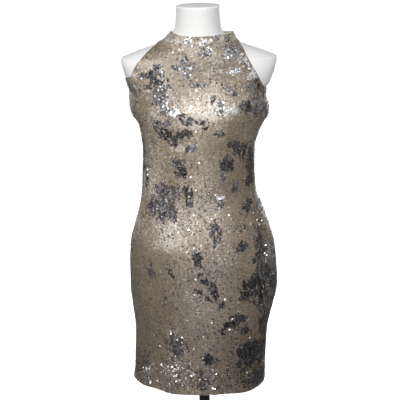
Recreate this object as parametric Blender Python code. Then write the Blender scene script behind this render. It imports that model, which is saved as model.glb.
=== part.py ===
"""Sequinned halter cocktail dress, standing on a limbless dress form.

Each piece that a maker cuts and sews on is one object: the front, two back halves, the neckband
with its facing, and the slider and pull of the back zip. The form, its flange, pole and base are
the other objects. +Z is up, the front faces -Y, +X is the viewer's right, and the origin is on
the floor under the middle of the base.
"""

import math
from typing import NamedTuple

import bmesh
import bpy
import numpy as np
from mathutils import Matrix

MM = 0.001

# Cloth
WALL = 2.0 * MM
SEAM_GAP = 0.3 * MM
FACING_WALL = 1.0 * MM
FACING_LOW = 2 * MM
FACING_SHORT = 0.5 * MM
HEM_HEIGHT = 322 * MM
UNDERARM_HEIGHT = 1088 * MM
NECK_SEAM_HEIGHT = 1214 * MM
BAND_TOP_HEIGHT = 1235 * MM
BAND_FRONT_DIP = 4 * MM

# Mesh grid: 7.5 degrees between columns all round, and rows closer together over the chest
COLUMN_STEP = math.radians(7.5)
HALF_TURN_STEPS = 24
NORMAL_TURN = math.radians(0.5)
NORMAL_CLIMB = 1 * MM
SHARP_EDGE = math.radians(35)
SKIRT_ROWS = 11
BODICE_ROWS = 15
BUST_CROWDING = 0.8
CHEST_ROWS = 9
SHOULDER_ROWS = 5
ARMHOLE_CROWDING = 1.7
BAND_ROWS = 2
WAIST_HEIGHT = 740 * MM
SHOULDER_HEIGHT = 1180 * MM

# Bust: two soft mounds under one stretch of cloth
BUST_HEIGHT = 1052 * MM
BUST_APART = 84 * MM
BUST_RISE = 11 * MM
BUST_HALF_WIDTH = 46 * MM
BUST_HALF_HEIGHT = 46 * MM

# Dress form
FORM_BOTTOM = 500 * MM
NECK_TOP = 1300 * MM
NECK_EDGE_ROUNDING = 1.5 * MM
NECK_ROWS = 6
NECK_CROWDING = 1.4
LEAST_ROW = 4 * MM
CLOSE_EASE = 0.6 * MM
ARMPIT_BELOW = (30 * MM, 8 * MM)
ARMPIT_ABOVE = (12 * MM, 30 * MM)
CHEST_EASE = 2.2 * MM
ARMPIT_EASE = 3.4 * MM
SHOULDER_TIP_HEIGHT = 1173 * MM
SHOULDER_TIP_REACH = 195.8 * MM
ARM_CUT_SLOPE = 0.25
ARM_CUT_ROUNDING = 2.5 * MM
ARM_CUT_BELOW = 12 * MM

# Stand
POLE_RADIUS = 14 * MM
FIT_GAP = 0.3 * MM
FLANGE_RADIUS = 45 * MM
FLANGE_PLATE = 5 * MM
SOCKET_WALL = 4 * MM
SOCKET_LENGTH = 32 * MM
BASE_RADIUS = 160 * MM
BASE_PLATE = 8 * MM
BASE_BEVEL = 1.5 * MM
SCREW_MERGE = 0.05 * MM
ROUND_SEGMENTS = 48

# Zip slider and pull, in the slider's own frame: x across, y away from the cloth, z up
ZIP_DROP = 7 * MM
SLIDER_WIDTH = 4.6 * MM
SLIDER_TAIL_WIDTH = 3.2 * MM
SLIDER_LENGTH = 8.4 * MM
SLIDER_PLATE = 1.2 * MM
BRIDGE_WIDTH = 1.5 * MM
BRIDGE_INNER = 1.05 * MM
BRIDGE_OUTER = 1.9 * MM
PULL_THICKNESS = 0.9 * MM
PULL_LENGTH = 21 * MM
PULL_TOP_WIDTH = 4.4 * MM
PULL_TIP_WIDTH = 6.2 * MM
PULL_EYE_WIDTH = 2.7 * MM
PULL_EYE_LENGTH = 4.6 * MM


class Section(NamedTuple):
    """A level section of a surface, in millimetres: its reach to each side of the Z axis.

    square is the power of the section's curve: 2 is an ellipse, and more is squarer.
    """

    height: float
    left: float
    right: float
    front: float
    back: float
    square: float


# The outside of the cloth from the hem to the top of the neckband. Between the underarm and the
# neck seam a section also holds the shoulders, which the armholes leave bare.
CLOTH_SECTIONS = (
    Section(322, 185, 160, 131, 126, 2.10),
    Section(345, 181, 160, 129, 126, 2.10),
    Section(400, 178, 162, 126, 126, 2.15),
    Section(467, 176, 167, 123, 127, 2.20),
    Section(533, 182, 183, 120, 129, 2.25),
    Section(583, 186, 193, 117, 131, 2.25),
    Section(640, 186, 191, 114, 130, 2.25),
    Section(700, 182, 184, 110, 122, 2.20),
    Section(740, 172, 173, 107, 113, 2.20),
    Section(790, 157, 155, 101, 101, 2.15),
    Section(840, 149, 139, 97, 91, 2.15),
    Section(890, 146, 136, 96, 86, 2.15),
    Section(940, 144, 137, 101, 88, 2.20),
    Section(980, 148, 147, 109, 93, 2.20),
    Section(1010, 159, 159, 116, 97, 2.25),
    Section(1032, 173, 172, 121, 100, 2.25),
    Section(1056, 176, 173, 124, 102, 2.25),
    Section(1075, 177, 172, 123, 104, 2.22),
    Section(1092, 180, 176, 120, 105, 2.17),
    Section(1108, 187, 185, 116, 105, 2.10),
    Section(1124, 196, 195, 111, 103, 2.05),
    Section(1140, 203, 203, 105, 101, 2.00),
    Section(1154, 206, 206, 99, 98, 2.00),
    Section(1168, 203, 203, 93, 96, 2.00),
    Section(1180, 176, 176, 89, 94, 2.00),
    Section(1194, 138, 138, 85, 92, 2.00),
    Section(1206, 106, 106, 82, 89.5, 2.00),
    Section(1214, 90, 89, 79, 87, 2.00),
    Section(1226, 77, 82, 74, 84, 2.00),
    Section(1235, 66, 79, 69, 81.5, 2.00),
)

# The neck of the form, as far out as cloth would lie on it.
NECK_SECTIONS = (
    Section(1222, 76, 76, 69, 79, 2.00),
    Section(1230, 67, 67, 64, 72, 2.00),
    Section(1240, 62, 62, 61, 67, 2.00),
    Section(1252, 59.5, 59.5, 60, 63, 2.00),
    Section(1272, 58, 58, 60, 59, 2.00),
    Section(1300, 57.3, 57.3, 62, 55, 2.00),
)


class Armhole(NamedTuple):
    """How far a panel reaches to each side at one height of its armholes, in millimetres."""

    height: float
    left: float
    right: float


# The lowest and highest rows reach the side seams and the sides of the neckband.
FRONT_ARMHOLE = (
    Armhole(1088, 179, 175),
    Armhole(1094, 177.5, 166),
    Armhole(1108, 173, 159),
    Armhole(1125, 168, 151),
    Armhole(1140, 163, 142),
    Armhole(1155, 159, 134),
    Armhole(1170, 154, 126),
    Armhole(1186, 144, 117),
    Armhole(1200, 121, 108),
    Armhole(1208, 101, 98),
    Armhole(1214, 90, 89),
)
BACK_ARMHOLE = (
    Armhole(1088, 179, 175),
    Armhole(1094, 172, 166),
    Armhole(1108, 160, 153),
    Armhole(1125, 148, 143),
    Armhole(1145, 136, 133),
    Armhole(1165, 127, 125),
    Armhole(1186, 116, 115),
    Armhole(1200, 105, 104),
    Armhole(1208, 96, 96),
    Armhole(1214, 90, 89),
)


class Fold(NamedTuple):
    """A soft ridge of the cloth between two places, each an angle in degrees and a height in mm.

    Its half width and its rise are in mm, and it fades out at both ends.
    """

    top_angle: float
    top_height: float
    low_angle: float
    low_height: float
    half_width: float
    rise: float


# The largest folds: drag lines from the underarms and the hips, breaks in the small of the back,
# and flutes that leave the hem at their fullest.
FOLDS = (
    Fold(143, 1046, 150, 920, 20, 3.6),
    Fold(36, 1015, 29, 925, 19, 2.8),
    Fold(164, 812, 141, 690, 21, 3.2),
    Fold(19, 780, 37, 672, 20, 2.6),
    Fold(207, 968, 240, 896, 20, 3.4),
    Fold(331, 950, 303, 872, 19, 3.0),
    Fold(218, 884, 246, 812, 18, 2.6),
    Fold(322, 856, 297, 790, 18, 2.9),
    Fold(139, 470, 146, 150, 24, 4.2),
    Fold(61, 430, 55, 170, 23, 3.1),
    Fold(228, 480, 222, 140, 26, 4.0),
    Fold(309, 440, 315, 160, 25, 3.5),
)
FOLD_RADIUS = 150 * MM


def form_sections():
    """The form's sections: even on both sides, no wider than the cloth's narrower side."""
    body = [
        s._replace(left=min(s.left, s.right), right=min(s.left, s.right))
        for s in CLOTH_SECTIONS
        if s.height * MM <= NECK_SEAM_HEIGHT
    ]
    return (*body, *NECK_SECTIONS)


def column_at(rows, name, heights):
    """A table's column at any heights, on a smooth curve through its rows that never overshoots."""
    known = np.array([row.height for row in rows]) * MM
    values = np.array([getattr(row, name) for row in rows], float)
    rise = np.diff(values) / np.diff(known)
    product = rise[:-1] * rise[1:]
    total = np.where(product > 0, rise[:-1] + rise[1:], 1)
    middle = np.where(product > 0, 2 * product / total, 0)
    slope = np.concatenate([rise[:1], middle, rise[-1:]])
    k = np.clip(np.searchsorted(known, heights) - 1, 0, len(known) - 2)
    span = known[k + 1] - known[k]
    t = np.clip((heights - known[k]) / span, 0, 1)
    start = values[k] * (1 + 2 * t) * (1 - t) ** 2 + values[k + 1] * t * t * (3 - 2 * t)
    return start + span * t * (1 - t) * (slope[k] * (1 - t) - slope[k + 1] * t)


def surface(rows, angles, heights):
    """Points on the surface through a table of sections.

    An angle of 0 is the right side, 90 degrees the front, 180 the left side and 270 the back.
    """
    left, right, front, back = (
        column_at(rows, name, heights) * MM for name in ("left", "right", "front", "back")
    )
    power = 2 / column_at(rows, "square", heights)
    across, ahead = np.cos(angles), np.sin(angles)
    x = np.where(across > 0, right, left) * np.sign(across) * np.abs(across) ** power
    y = np.where(ahead > 0, -front, back) * np.abs(ahead) ** power
    mound = np.exp(-(((np.abs(x) - BUST_APART) / BUST_HALF_WIDTH) ** 2))
    mound = mound * np.exp(-(((heights - BUST_HEIGHT) / BUST_HALF_HEIGHT) ** 2))
    y = y - BUST_RISE * mound * np.clip(ahead, 0, 1)
    up_the_band = np.clip((heights - NECK_SEAM_HEIGHT) / (BAND_TOP_HEIGHT - NECK_SEAM_HEIGHT), 0, 1)
    z = heights - BAND_FRONT_DIP * up_the_band * np.clip(ahead, 0, 1)
    return np.stack([x, y, z], axis=-1)


def normals(rows, angles, heights):
    """The surface's outward directions, from its slopes along the angle and the height."""
    turn, climb = NORMAL_TURN, NORMAL_CLIMB
    along = surface(rows, angles + turn, heights) - surface(rows, angles - turn, heights)
    upward = surface(rows, angles, heights + climb) - surface(rows, angles, heights - climb)
    out = np.cross(upward, along)
    return out / np.linalg.norm(out, axis=-1, keepdims=True)


def fold_lift(angles, heights):
    """How far the folds lift the cloth: across a fold a bell curve, along it half a sine wave."""
    lift = np.zeros_like(heights)
    for fold in FOLDS:
        top = np.array([math.radians(fold.top_angle) * FOLD_RADIUS, fold.top_height * MM])
        low = np.array([math.radians(fold.low_angle) * FOLD_RADIUS, fold.low_height * MM])
        length = np.linalg.norm(low - top)
        along_x, along_z = (low - top) / length
        x, z = angles * FOLD_RADIUS - top[0], heights - top[1]
        share = np.clip((x * along_x + z * along_z) / length, 0, 1)
        off_line = (x * along_z - z * along_x) / (fold.half_width * MM)
        lift = lift + fold.rise * MM * np.sin(math.pi * share) * np.exp(-(off_line**2))
    return lift


def angle_of_reach(rows, heights, reach, side):
    """The angle from the side at which a section comes in to the given reach from the axis."""
    widest = column_at(rows, side, heights) * MM
    power = column_at(rows, "square", heights) / 2
    return np.arccos(np.clip(reach / widest, 0, 1) ** power)


def angle_of_gap(rows, heights, depth_name):
    """The angle that leaves half a seam gap beside the side seam."""
    depth = column_at(rows, depth_name, heights) * MM
    return (SEAM_GAP / 2 / depth) ** (column_at(rows, "square", heights) / 2)


def levels(low, high, rows, crowding=1):
    """Heights from low to high, both included. Crowding over 1 brings the lowest closer together."""
    return low + (high - low) * np.linspace(0, 1, rows + 1) ** crowding


def cloth_levels():
    """The heights of the rows of every long panel, hem to neck seam."""
    return np.concatenate(
        [
            levels(HEM_HEIGHT, WAIST_HEIGHT, SKIRT_ROWS)[:-1],
            levels(WAIST_HEIGHT, UNDERARM_HEIGHT, BODICE_ROWS, BUST_CROWDING)[:-1],
            levels(UNDERARM_HEIGHT, SHOULDER_HEIGHT, CHEST_ROWS, ARMHOLE_CROWDING)[:-1],
            levels(SHOULDER_HEIGHT, NECK_SEAM_HEIGHT - SEAM_GAP / 2, SHOULDER_ROWS),
        ]
    )


def spread(first, last, steps):
    """Angles from first to last for each row, evenly spaced in that many steps."""
    share = np.linspace(0, 1, steps + 1)
    return first[:, None] * (1 - share) + last[:, None] * share


def edge_angles(heights, armhole, side, depth_name):
    """The angle between a side seam or armhole edge and the very side, at each height."""
    reach = column_at(armhole, side, heights) * MM
    cut = angle_of_reach(CLOTH_SECTIONS, heights, reach, side)
    seam = angle_of_gap(CLOTH_SECTIONS, heights, depth_name)
    return np.where(heights > UNDERARM_HEIGHT, np.maximum(cut, seam), seam)


def mesh_object(name, points, faces, material, smooth=True):
    """One object at the origin, from its points and faces."""
    mesh = bpy.data.meshes.new(name)
    mesh.from_pydata([tuple(p) for p in points], [], faces)
    mesh.materials.append(material)
    mesh.validate()
    if smooth:
        mesh.shade_smooth()
        mesh.set_sharp_from_angle(angle=SHARP_EDGE)
    obj = bpy.data.objects.new(name, mesh)
    bpy.context.scene.collection.objects.link(obj)
    return obj


def wall_object(name, rows, angles, heights, depths, material):
    """A wall on the cloth's surface: its outer side lies depths[0] inside it, the inner depths[1].

    angles and heights are grids, one line for each row of the wall from its bottom to its top.
    """
    out = normals(rows, angles, heights)
    base = surface(rows, angles, heights) + fold_lift(angles, heights)[..., None] * out
    lines, columns = angles.shape
    outer, inner = (np.reshape(base - depth * out, (-1, 3)) for depth in depths)
    index = np.arange(lines * columns).reshape(lines, columns)
    inside = index + lines * columns
    corners = [index[:-1, :-1], index[:-1, 1:], index[1:, 1:], index[1:, :-1]]
    faces = [tuple(face) for face in np.stack(corners, -1).reshape(-1, 4)[:, ::-1].tolist()]
    corners = [inside[:-1, :-1], inside[:-1, 1:], inside[1:, 1:], inside[1:, :-1]]
    faces += [tuple(face) for face in np.stack(corners, -1).reshape(-1, 4).tolist()]
    rim = [*index[0, :-1], *index[:-1, -1], *index[-1, :0:-1], *index[:0:-1, 0]]
    inner_rim = [i + lines * columns for i in rim]
    for k, corner in enumerate(rim):
        after = (k + 1) % len(rim)
        faces.append((corner, rim[after], inner_rim[after], inner_rim[k]))
    return mesh_object(name, np.concatenate([outer, inner]), faces, material)


def long_panel(name, first, last, steps, material):
    """A panel from the hem to the neck seam, between two edges given as angles for each row."""
    heights = cloth_levels()
    angles = spread(first, last, steps)
    grid = np.repeat(heights[:, None], angles.shape[1], axis=1)
    return wall_object(name, CLOTH_SECTIONS, angles, grid, (0, WALL), material)


def dress_front(material):
    """The front, cut in one piece from side seam to side seam."""
    heights = cloth_levels()
    right = edge_angles(heights, FRONT_ARMHOLE, "right", "front")
    left = math.pi - edge_angles(heights, FRONT_ARMHOLE, "left", "front")
    return long_panel("dress_front", right, left, HALF_TURN_STEPS, material)


def dress_back_halves(material):
    """The two halves of the back, which meet at the zip."""
    heights = cloth_levels()
    half_gap = np.arcsin(SEAM_GAP / 2 / (column_at(CLOTH_SECTIONS, "left", heights) * MM))
    power = column_at(CLOTH_SECTIONS, "square", heights) / 2
    zip_edge = np.sin(half_gap) ** power
    left_edge = math.pi + edge_angles(heights, BACK_ARMHOLE, "left", "back")
    right_edge = 2 * math.pi - edge_angles(heights, BACK_ARMHOLE, "right", "back")
    steps = HALF_TURN_STEPS // 2
    return [
        long_panel("dress_back_left", left_edge, 1.5 * math.pi - zip_edge, steps, material),
        long_panel("dress_back_right", 1.5 * math.pi + zip_edge, right_edge, steps, material),
    ]


def band_object(name, depths, low, high, material):
    """A strip round the neck from one side of the zip to the other."""
    heights = levels(low, high, BAND_ROWS)
    opening = SEAM_GAP / 2 / (column_at(CLOTH_SECTIONS, "right", heights) * MM)
    angles = spread(1.5 * math.pi + opening - 2 * math.pi, 1.5 * math.pi - opening, 2 * HALF_TURN_STEPS)
    grid = np.repeat(heights[:, None], angles.shape[1], axis=1)
    return wall_object(name, CLOTH_SECTIONS, angles, grid, depths, material)


def neckband(material):
    """The stand-up neckband, as thick as the panels below it."""
    low = NECK_SEAM_HEIGHT + SEAM_GAP / 2
    return band_object("neckband", (0, WALL), low, BAND_TOP_HEIGHT, material)


def neckband_facing(material):
    """The light strip that backs the neckband on the inside."""
    outside = WALL + SEAM_GAP
    low, high = NECK_SEAM_HEIGHT + FACING_LOW, BAND_TOP_HEIGHT - FACING_SHORT
    return band_object("neckband_facing", (outside, outside + FACING_WALL), low, high, material)


def form_ease(heights):
    """The room between the form and the inside of the cloth: close to the bust, most at the armpit."""
    known = [UNDERARM_HEIGHT - below for below in ARMPIT_BELOW]
    known += [UNDERARM_HEIGHT + above for above in ARMPIT_ABOVE]
    return np.interp(heights, known, [CLOSE_EASE, ARMPIT_EASE, ARMPIT_EASE, CHEST_EASE])


def form_torso(material):
    """The limbless form: neck with a flat top, cut arm ends, and a flat underside."""
    rows = form_sections()
    neck = levels(NECK_SEAM_HEIGHT, NECK_TOP - NECK_EDGE_ROUNDING, NECK_ROWS, NECK_CROWDING)[1:]
    body = cloth_levels()
    heights = np.concatenate([[FORM_BOTTOM], body[body > FORM_BOTTOM + LEAST_ROW], neck])
    angles = np.arange(2 * HALF_TURN_STEPS) * COLUMN_STEP
    angle_grid = np.repeat(angles[None, :], len(heights), axis=0)
    height_grid = np.repeat(heights[:, None], len(angles), axis=1)
    inset = WALL + form_ease(height_grid)
    points = surface(rows, angle_grid, height_grid)
    points = points - inset[..., None] * normals(rows, angle_grid, height_grid)
    points[0, :, 2], points[-1, :, 2] = FORM_BOTTOM, heights[-1]
    drop = SHOULDER_TIP_HEIGHT - points[..., 2]
    cut = SHOULDER_TIP_REACH - ARM_CUT_SLOPE * drop
    across = np.abs(points[..., 0])
    rounded = -ARM_CUT_ROUNDING * np.logaddexp(-across / ARM_CUT_ROUNDING, -cut / ARM_CUT_ROUNDING)
    above = points[..., 2] > UNDERARM_HEIGHT - ARM_CUT_BELOW
    points[..., 0] = np.where(above, np.sign(points[..., 0]) * rounded, points[..., 0])
    rim = points[-1] - points[-1].mean(axis=0)
    lid = points[-1] - NECK_EDGE_ROUNDING * rim / np.linalg.norm(rim, axis=1, keepdims=True)
    lid[:, 2] = NECK_TOP
    rings = np.concatenate([points, lid[None]])
    lines, columns = rings.shape[:2]
    index = np.arange(lines * columns).reshape(lines, columns)
    turned = np.roll(index, -1, axis=1)
    corners = np.stack([index[:-1], index[1:], turned[1:], turned[:-1]], -1)
    faces = [tuple(face) for face in corners.reshape(-1, 4).tolist()]
    faces += [tuple(index[0].tolist()), tuple(index[-1, ::-1].tolist())]
    return mesh_object("form_torso", rings.reshape(-1, 3), faces, material)


def turned(name, profile, material):
    """A round piece about the Z axis, from (radius, height) points, top to bottom."""
    mesh = bpy.data.meshes.new(name)
    edges = [(k, k + 1) for k in range(len(profile) - 1)]
    mesh.from_pydata([(radius, 0, height) for radius, height in profile], edges, [])
    mesh.materials.append(material)
    obj = bpy.data.objects.new(name, mesh)
    bpy.context.scene.collection.objects.link(obj)
    screw = obj.modifiers.new("turn", "SCREW")
    screw.steps = screw.render_steps = ROUND_SEGMENTS
    screw.use_merge_vertices = True
    screw.merge_threshold = SCREW_MERGE
    screw.use_smooth_shade = False
    return obj


def stand_pieces(material):
    """The flange under the form, the pole, and the round base that it stands in."""
    bore = POLE_RADIUS + FIT_GAP
    sleeve = bore + SOCKET_WALL
    top = FORM_BOTTOM - FIT_GAP
    below_plate = top - FLANGE_PLATE
    flange = [
        (0, top),
        (FLANGE_RADIUS, top),
        (FLANGE_RADIUS, below_plate),
        (sleeve, below_plate),
        (sleeve, below_plate - SOCKET_LENGTH),
        (bore, below_plate - SOCKET_LENGTH),
        (bore, below_plate),
        (0, below_plate),
    ]
    seat = BASE_PLATE / 2
    pole = [
        (0, below_plate - FIT_GAP),
        (POLE_RADIUS, below_plate - FIT_GAP),
        (POLE_RADIUS, seat + FIT_GAP),
        (0, seat + FIT_GAP),
    ]
    bevel = BASE_BEVEL
    base = [
        (0, seat),
        (bore, seat),
        (bore, BASE_PLATE + SOCKET_LENGTH),
        (sleeve - bevel, BASE_PLATE + SOCKET_LENGTH),
        (sleeve, BASE_PLATE + SOCKET_LENGTH - bevel),
        (sleeve, BASE_PLATE + bevel),
        (sleeve + bevel, BASE_PLATE),
        (BASE_RADIUS - 2 * bevel, BASE_PLATE),
        (BASE_RADIUS, BASE_PLATE - 2 * bevel),
        (BASE_RADIUS, bevel),
        (BASE_RADIUS - bevel, 0),
        (0, 0),
    ]
    return [
        turned("stand_flange", flange, material),
        turned("stand_pole", pole, material),
        turned("stand_base", base, material),
    ]


def slab(bm, outline, low, high):
    """Adds a plate to a bmesh: an outline in x and z, from y = low to y = high."""
    near = [bm.verts.new((x, low, z)) for x, z in outline]
    face = bm.faces.new(near)
    made = bmesh.ops.extrude_face_region(bm, geom=[face])
    moved = [v for v in made["geom"] if isinstance(v, bmesh.types.BMVert)]
    bmesh.ops.translate(bm, vec=(0, high - low, 0), verts=moved)
    bmesh.ops.recalc_face_normals(bm, faces=bm.faces)


def arc(centre, radius, start, end, steps):
    """Points on an arc in x and z, angles in degrees from +x."""
    turns = np.radians(np.linspace(start, end, steps + 1))
    return [(centre[0] + radius * math.cos(t), centre[1] + radius * math.sin(t)) for t in turns]


def small_part(name, build, frame, material):
    """An object made by build(bmesh), parented to the zip's empty."""
    bm = bmesh.new()
    build(bm)
    mesh = bpy.data.meshes.new(name)
    bm.to_mesh(mesh)
    bm.free()
    mesh.materials.append(material)
    obj = bpy.data.objects.new(name, mesh)
    bpy.context.scene.collection.objects.link(obj)
    obj.parent = frame
    return obj


def hide_cutter(obj):
    """Marks an object as a Boolean's helper."""
    obj.hide_render = True
    obj.display_type = "WIRE"


def boolean(target, other, operation):
    """Joins or cuts target with other by an exact Boolean."""
    modifier = target.modifiers.new(operation.lower(), "BOOLEAN")
    modifier.operation = operation
    modifier.solver = "EXACT"
    modifier.object = other
    hide_cutter(other)


def zip_frame():
    """An empty at the pull's turning axis, leaning as the back of the neckband does."""
    height = np.array([BAND_TOP_HEIGHT - ZIP_DROP])
    back = np.array([1.5 * math.pi])
    point = surface(CLOTH_SECTIONS, back, height)[0]
    out = normals(CLOTH_SECTIONS, back, height)[0]
    lift = SEAM_GAP + SLIDER_PLATE + PULL_THICKNESS
    frame = bpy.data.objects.new("zip_axis", None)
    bpy.context.scene.collection.objects.link(frame)
    frame.location = point + lift * out
    frame.rotation_euler = (math.atan2(out[2], out[1]), 0, 0)
    return frame


def zip_slider(frame, material):
    """The slider: a plate on the cloth with a bridge over the pull's bar."""
    half = SLIDER_WIDTH / 2
    nose = arc((0, SLIDER_LENGTH / 2 - half), half, 0, 180, 8)
    tail = [(side * SLIDER_TAIL_WIDTH / 2, -SLIDER_LENGTH / 2) for side in (-1, 1)]
    plate_top = -PULL_THICKNESS

    def plate(bm):
        slab(bm, nose + tail, plate_top - SLIDER_PLATE, plate_top)

    def bridge(bm):
        foot = plate_top - SLIDER_PLATE / 2
        outer = [(BRIDGE_OUTER, foot), *arc((0, 0), BRIDGE_OUTER, 0, 180, 10), (-BRIDGE_OUTER, foot)]
        inner = [(-BRIDGE_INNER, foot), *arc((0, 0), BRIDGE_INNER, 180, 0, 10), (BRIDGE_INNER, foot)]
        slab(bm, outer + inner, -BRIDGE_WIDTH / 2, BRIDGE_WIDTH / 2)
        turn = math.pi / 2
        bmesh.ops.rotate(bm, cent=(0, 0, 0), matrix=Matrix.Rotation(turn, 3, "Z"), verts=bm.verts)
        bmesh.ops.rotate(bm, cent=(0, 0, 0), matrix=Matrix.Rotation(-turn, 3, "X"), verts=bm.verts)

    slider = small_part("zip_slider", plate, frame, material)
    arch = small_part("zip_bridge_form", bridge, frame, material)
    boolean(slider, arch, "UNION")
    return slider


def zip_pull(frame, material):
    """The pull: a flat drop with an eye, whose top bar turns under the slider's bridge."""
    bar = PULL_THICKNESS / 2
    tip = PULL_TIP_WIDTH / 2
    top = PULL_TOP_WIDTH / 2
    low = bar - PULL_LENGTH + tip
    outline = [(top, bar), (-top, bar), *arc((0, low), tip, 180, 360, 12)]
    eye_top = bar - PULL_THICKNESS
    eye = PULL_EYE_WIDTH / 2
    slot = [(eye, eye_top), (-eye, eye_top), *arc((0, eye_top - PULL_EYE_LENGTH + eye), eye, 180, 360, 8)]

    def drop(bm):
        slab(bm, outline, -bar, bar)

    def hole(bm):
        slab(bm, slot, -2 * PULL_THICKNESS, 2 * PULL_THICKNESS)

    pull = small_part("zip_pull", drop, frame, material)
    boolean(pull, small_part("zip_eye_cutter", hole, frame, material), "DIFFERENCE")
    return pull


def finish(name, colour, roughness, metallic):
    """A Principled material."""
    material = bpy.data.materials.new(name)
    material.use_nodes = True
    shader = material.node_tree.nodes["Principled BSDF"]
    shader.inputs["Base Color"].default_value = (*colour, 1)
    shader.inputs["Roughness"].default_value = roughness
    shader.inputs["Metallic"].default_value = metallic
    material.diffuse_color = (*colour, 1)
    return material


def main():
    """Clears the scene and builds every piece."""
    for old in list(bpy.data.objects):
        bpy.data.objects.remove(old)
    sequins = finish("champagne sequins", (0.36, 0.30, 0.24), 0.35, 0.6)
    satin = finish("facing satin", (0.78, 0.75, 0.70), 0.5, 0.0)
    white = finish("form white", (0.85, 0.85, 0.84), 0.55, 0.0)
    black = finish("black steel", (0.02, 0.02, 0.02), 0.4, 0.5)
    nickel = finish("nickel", (0.6, 0.6, 0.6), 0.25, 1.0)
    dress_front(sequins)
    dress_back_halves(sequins)
    neckband(sequins)
    neckband_facing(satin)
    form_torso(white)
    stand_pieces(black)
    frame = zip_frame()
    zip_slider(frame, nickel)
    zip_pull(frame, nickel)


main()
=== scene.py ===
"""Looks of a sequinned halter cocktail dress that stands on a limbless dress form.

The dress is a stretch mesh sewn all over with flip sequins: champagne where they are brushed
down, gunmetal where they are brushed up. Under it stand a white moulded form and a black steel
stand. +Z is up, the front faces -Y, and everything is in metres.
"""

import logging
import math
from collections.abc import Callable
from dataclasses import dataclass, field
from enum import Enum
from typing import Any, NamedTuple

import bmesh
import bpy
import numpy as np
from mathutils import Matrix


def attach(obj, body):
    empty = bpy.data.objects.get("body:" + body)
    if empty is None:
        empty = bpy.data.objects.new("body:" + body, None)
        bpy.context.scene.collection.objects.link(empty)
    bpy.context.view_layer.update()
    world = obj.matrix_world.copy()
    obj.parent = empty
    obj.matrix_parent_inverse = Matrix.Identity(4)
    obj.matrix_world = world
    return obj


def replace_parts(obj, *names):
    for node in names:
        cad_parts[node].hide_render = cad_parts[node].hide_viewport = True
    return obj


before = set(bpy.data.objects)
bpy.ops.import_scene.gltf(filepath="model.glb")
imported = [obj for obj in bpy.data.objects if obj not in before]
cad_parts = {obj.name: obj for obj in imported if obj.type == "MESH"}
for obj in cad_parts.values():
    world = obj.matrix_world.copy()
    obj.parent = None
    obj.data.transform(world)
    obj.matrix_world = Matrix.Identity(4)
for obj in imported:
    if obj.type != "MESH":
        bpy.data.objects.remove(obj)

log = logging.getLogger("dress")

Array = np.ndarray
Pair = tuple[Array, Array]
State = dict[str, Array]
Chance = np.random.Generator
Profile = list[tuple[float, float]]
Stops = tuple[tuple[float, str], ...]
Inputs = dict[str | int, Any]
Object, Mesh = bpy.types.Object, bpy.types.Mesh
Tree, Node, Socket = bpy.types.NodeTree, bpy.types.Node, bpy.types.NodeSocket
MM = 0.001
BAKE_MAP = "OFBake"
WELD_REACH = 1e-6
TUBE_SIDES = 10

# Heights and edges of the dress
HEM_HEIGHT = 322 * MM
HEM_FADE = 90 * MM
HEM_LEFT_RISE = 9 * MM
HEM_RIGHT_DROP = 6 * MM
UNDERARM_HEIGHT = 1088 * MM
SLIT_TOP_HEIGHT = 1118.5 * MM
LEFT_UNDERARM_HEIGHT = 1121.5 * MM
LEFT_LIP = 10.5 * MM
LEFT_LIP_POWER = 0.6
ARM_RIM_ROUNDING = 6 * MM
ZIP_LOW_HEIGHT = 790 * MM
NECK_SEAM_HEIGHT = 1214 * MM
BAND_TOP_HEIGHT = 1235 * MM
BAND_FRONT_DIP = 4 * MM
BAND_BACK_DIP = 8 * MM
BAND_LEFT_RISE = 3 * MM
SEAM_GAP = 0.3 * MM
WALL = 2.0 * MM
BUST_HEIGHT = 1052 * MM
BUST_APART = 84 * MM
BUST_RISE = 11 * MM
BUST_HALF_WIDTH = 46 * MM
BUST_HALF_HEIGHT = 46 * MM
FOLD_RADIUS = 150 * MM
FORM_BOTTOM = 500 * MM
# Where the hem steps up on the left and sags on the right, as cosines of the angle
HEM_STEP_START, HEM_STEP_WIDTH = 0.45, 0.25
HEM_SAG_PLACE, HEM_SAG_WIDTH = 0.72, 0.24
# Angles round the dress
FRONT_MIDDLE = 0.5 * math.pi
LEFT_SIDE = math.pi
BACK_MIDDLE = 1.5 * math.pi
RIGHT_SIDE = 2 * math.pi


def table(kind: type, *rows: tuple) -> tuple:
    """Rows of plain values as a tuple of one kind."""
    return tuple(kind(*row) for row in rows)


class Section(NamedTuple):
    """A level section of a surface in mm: its reach to each side of the Z axis.

    square is the power of the section's curve: 2 is an ellipse, and more is squarer.
    """

    height: float
    left: float
    right: float
    front: float
    back: float
    square: float


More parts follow.
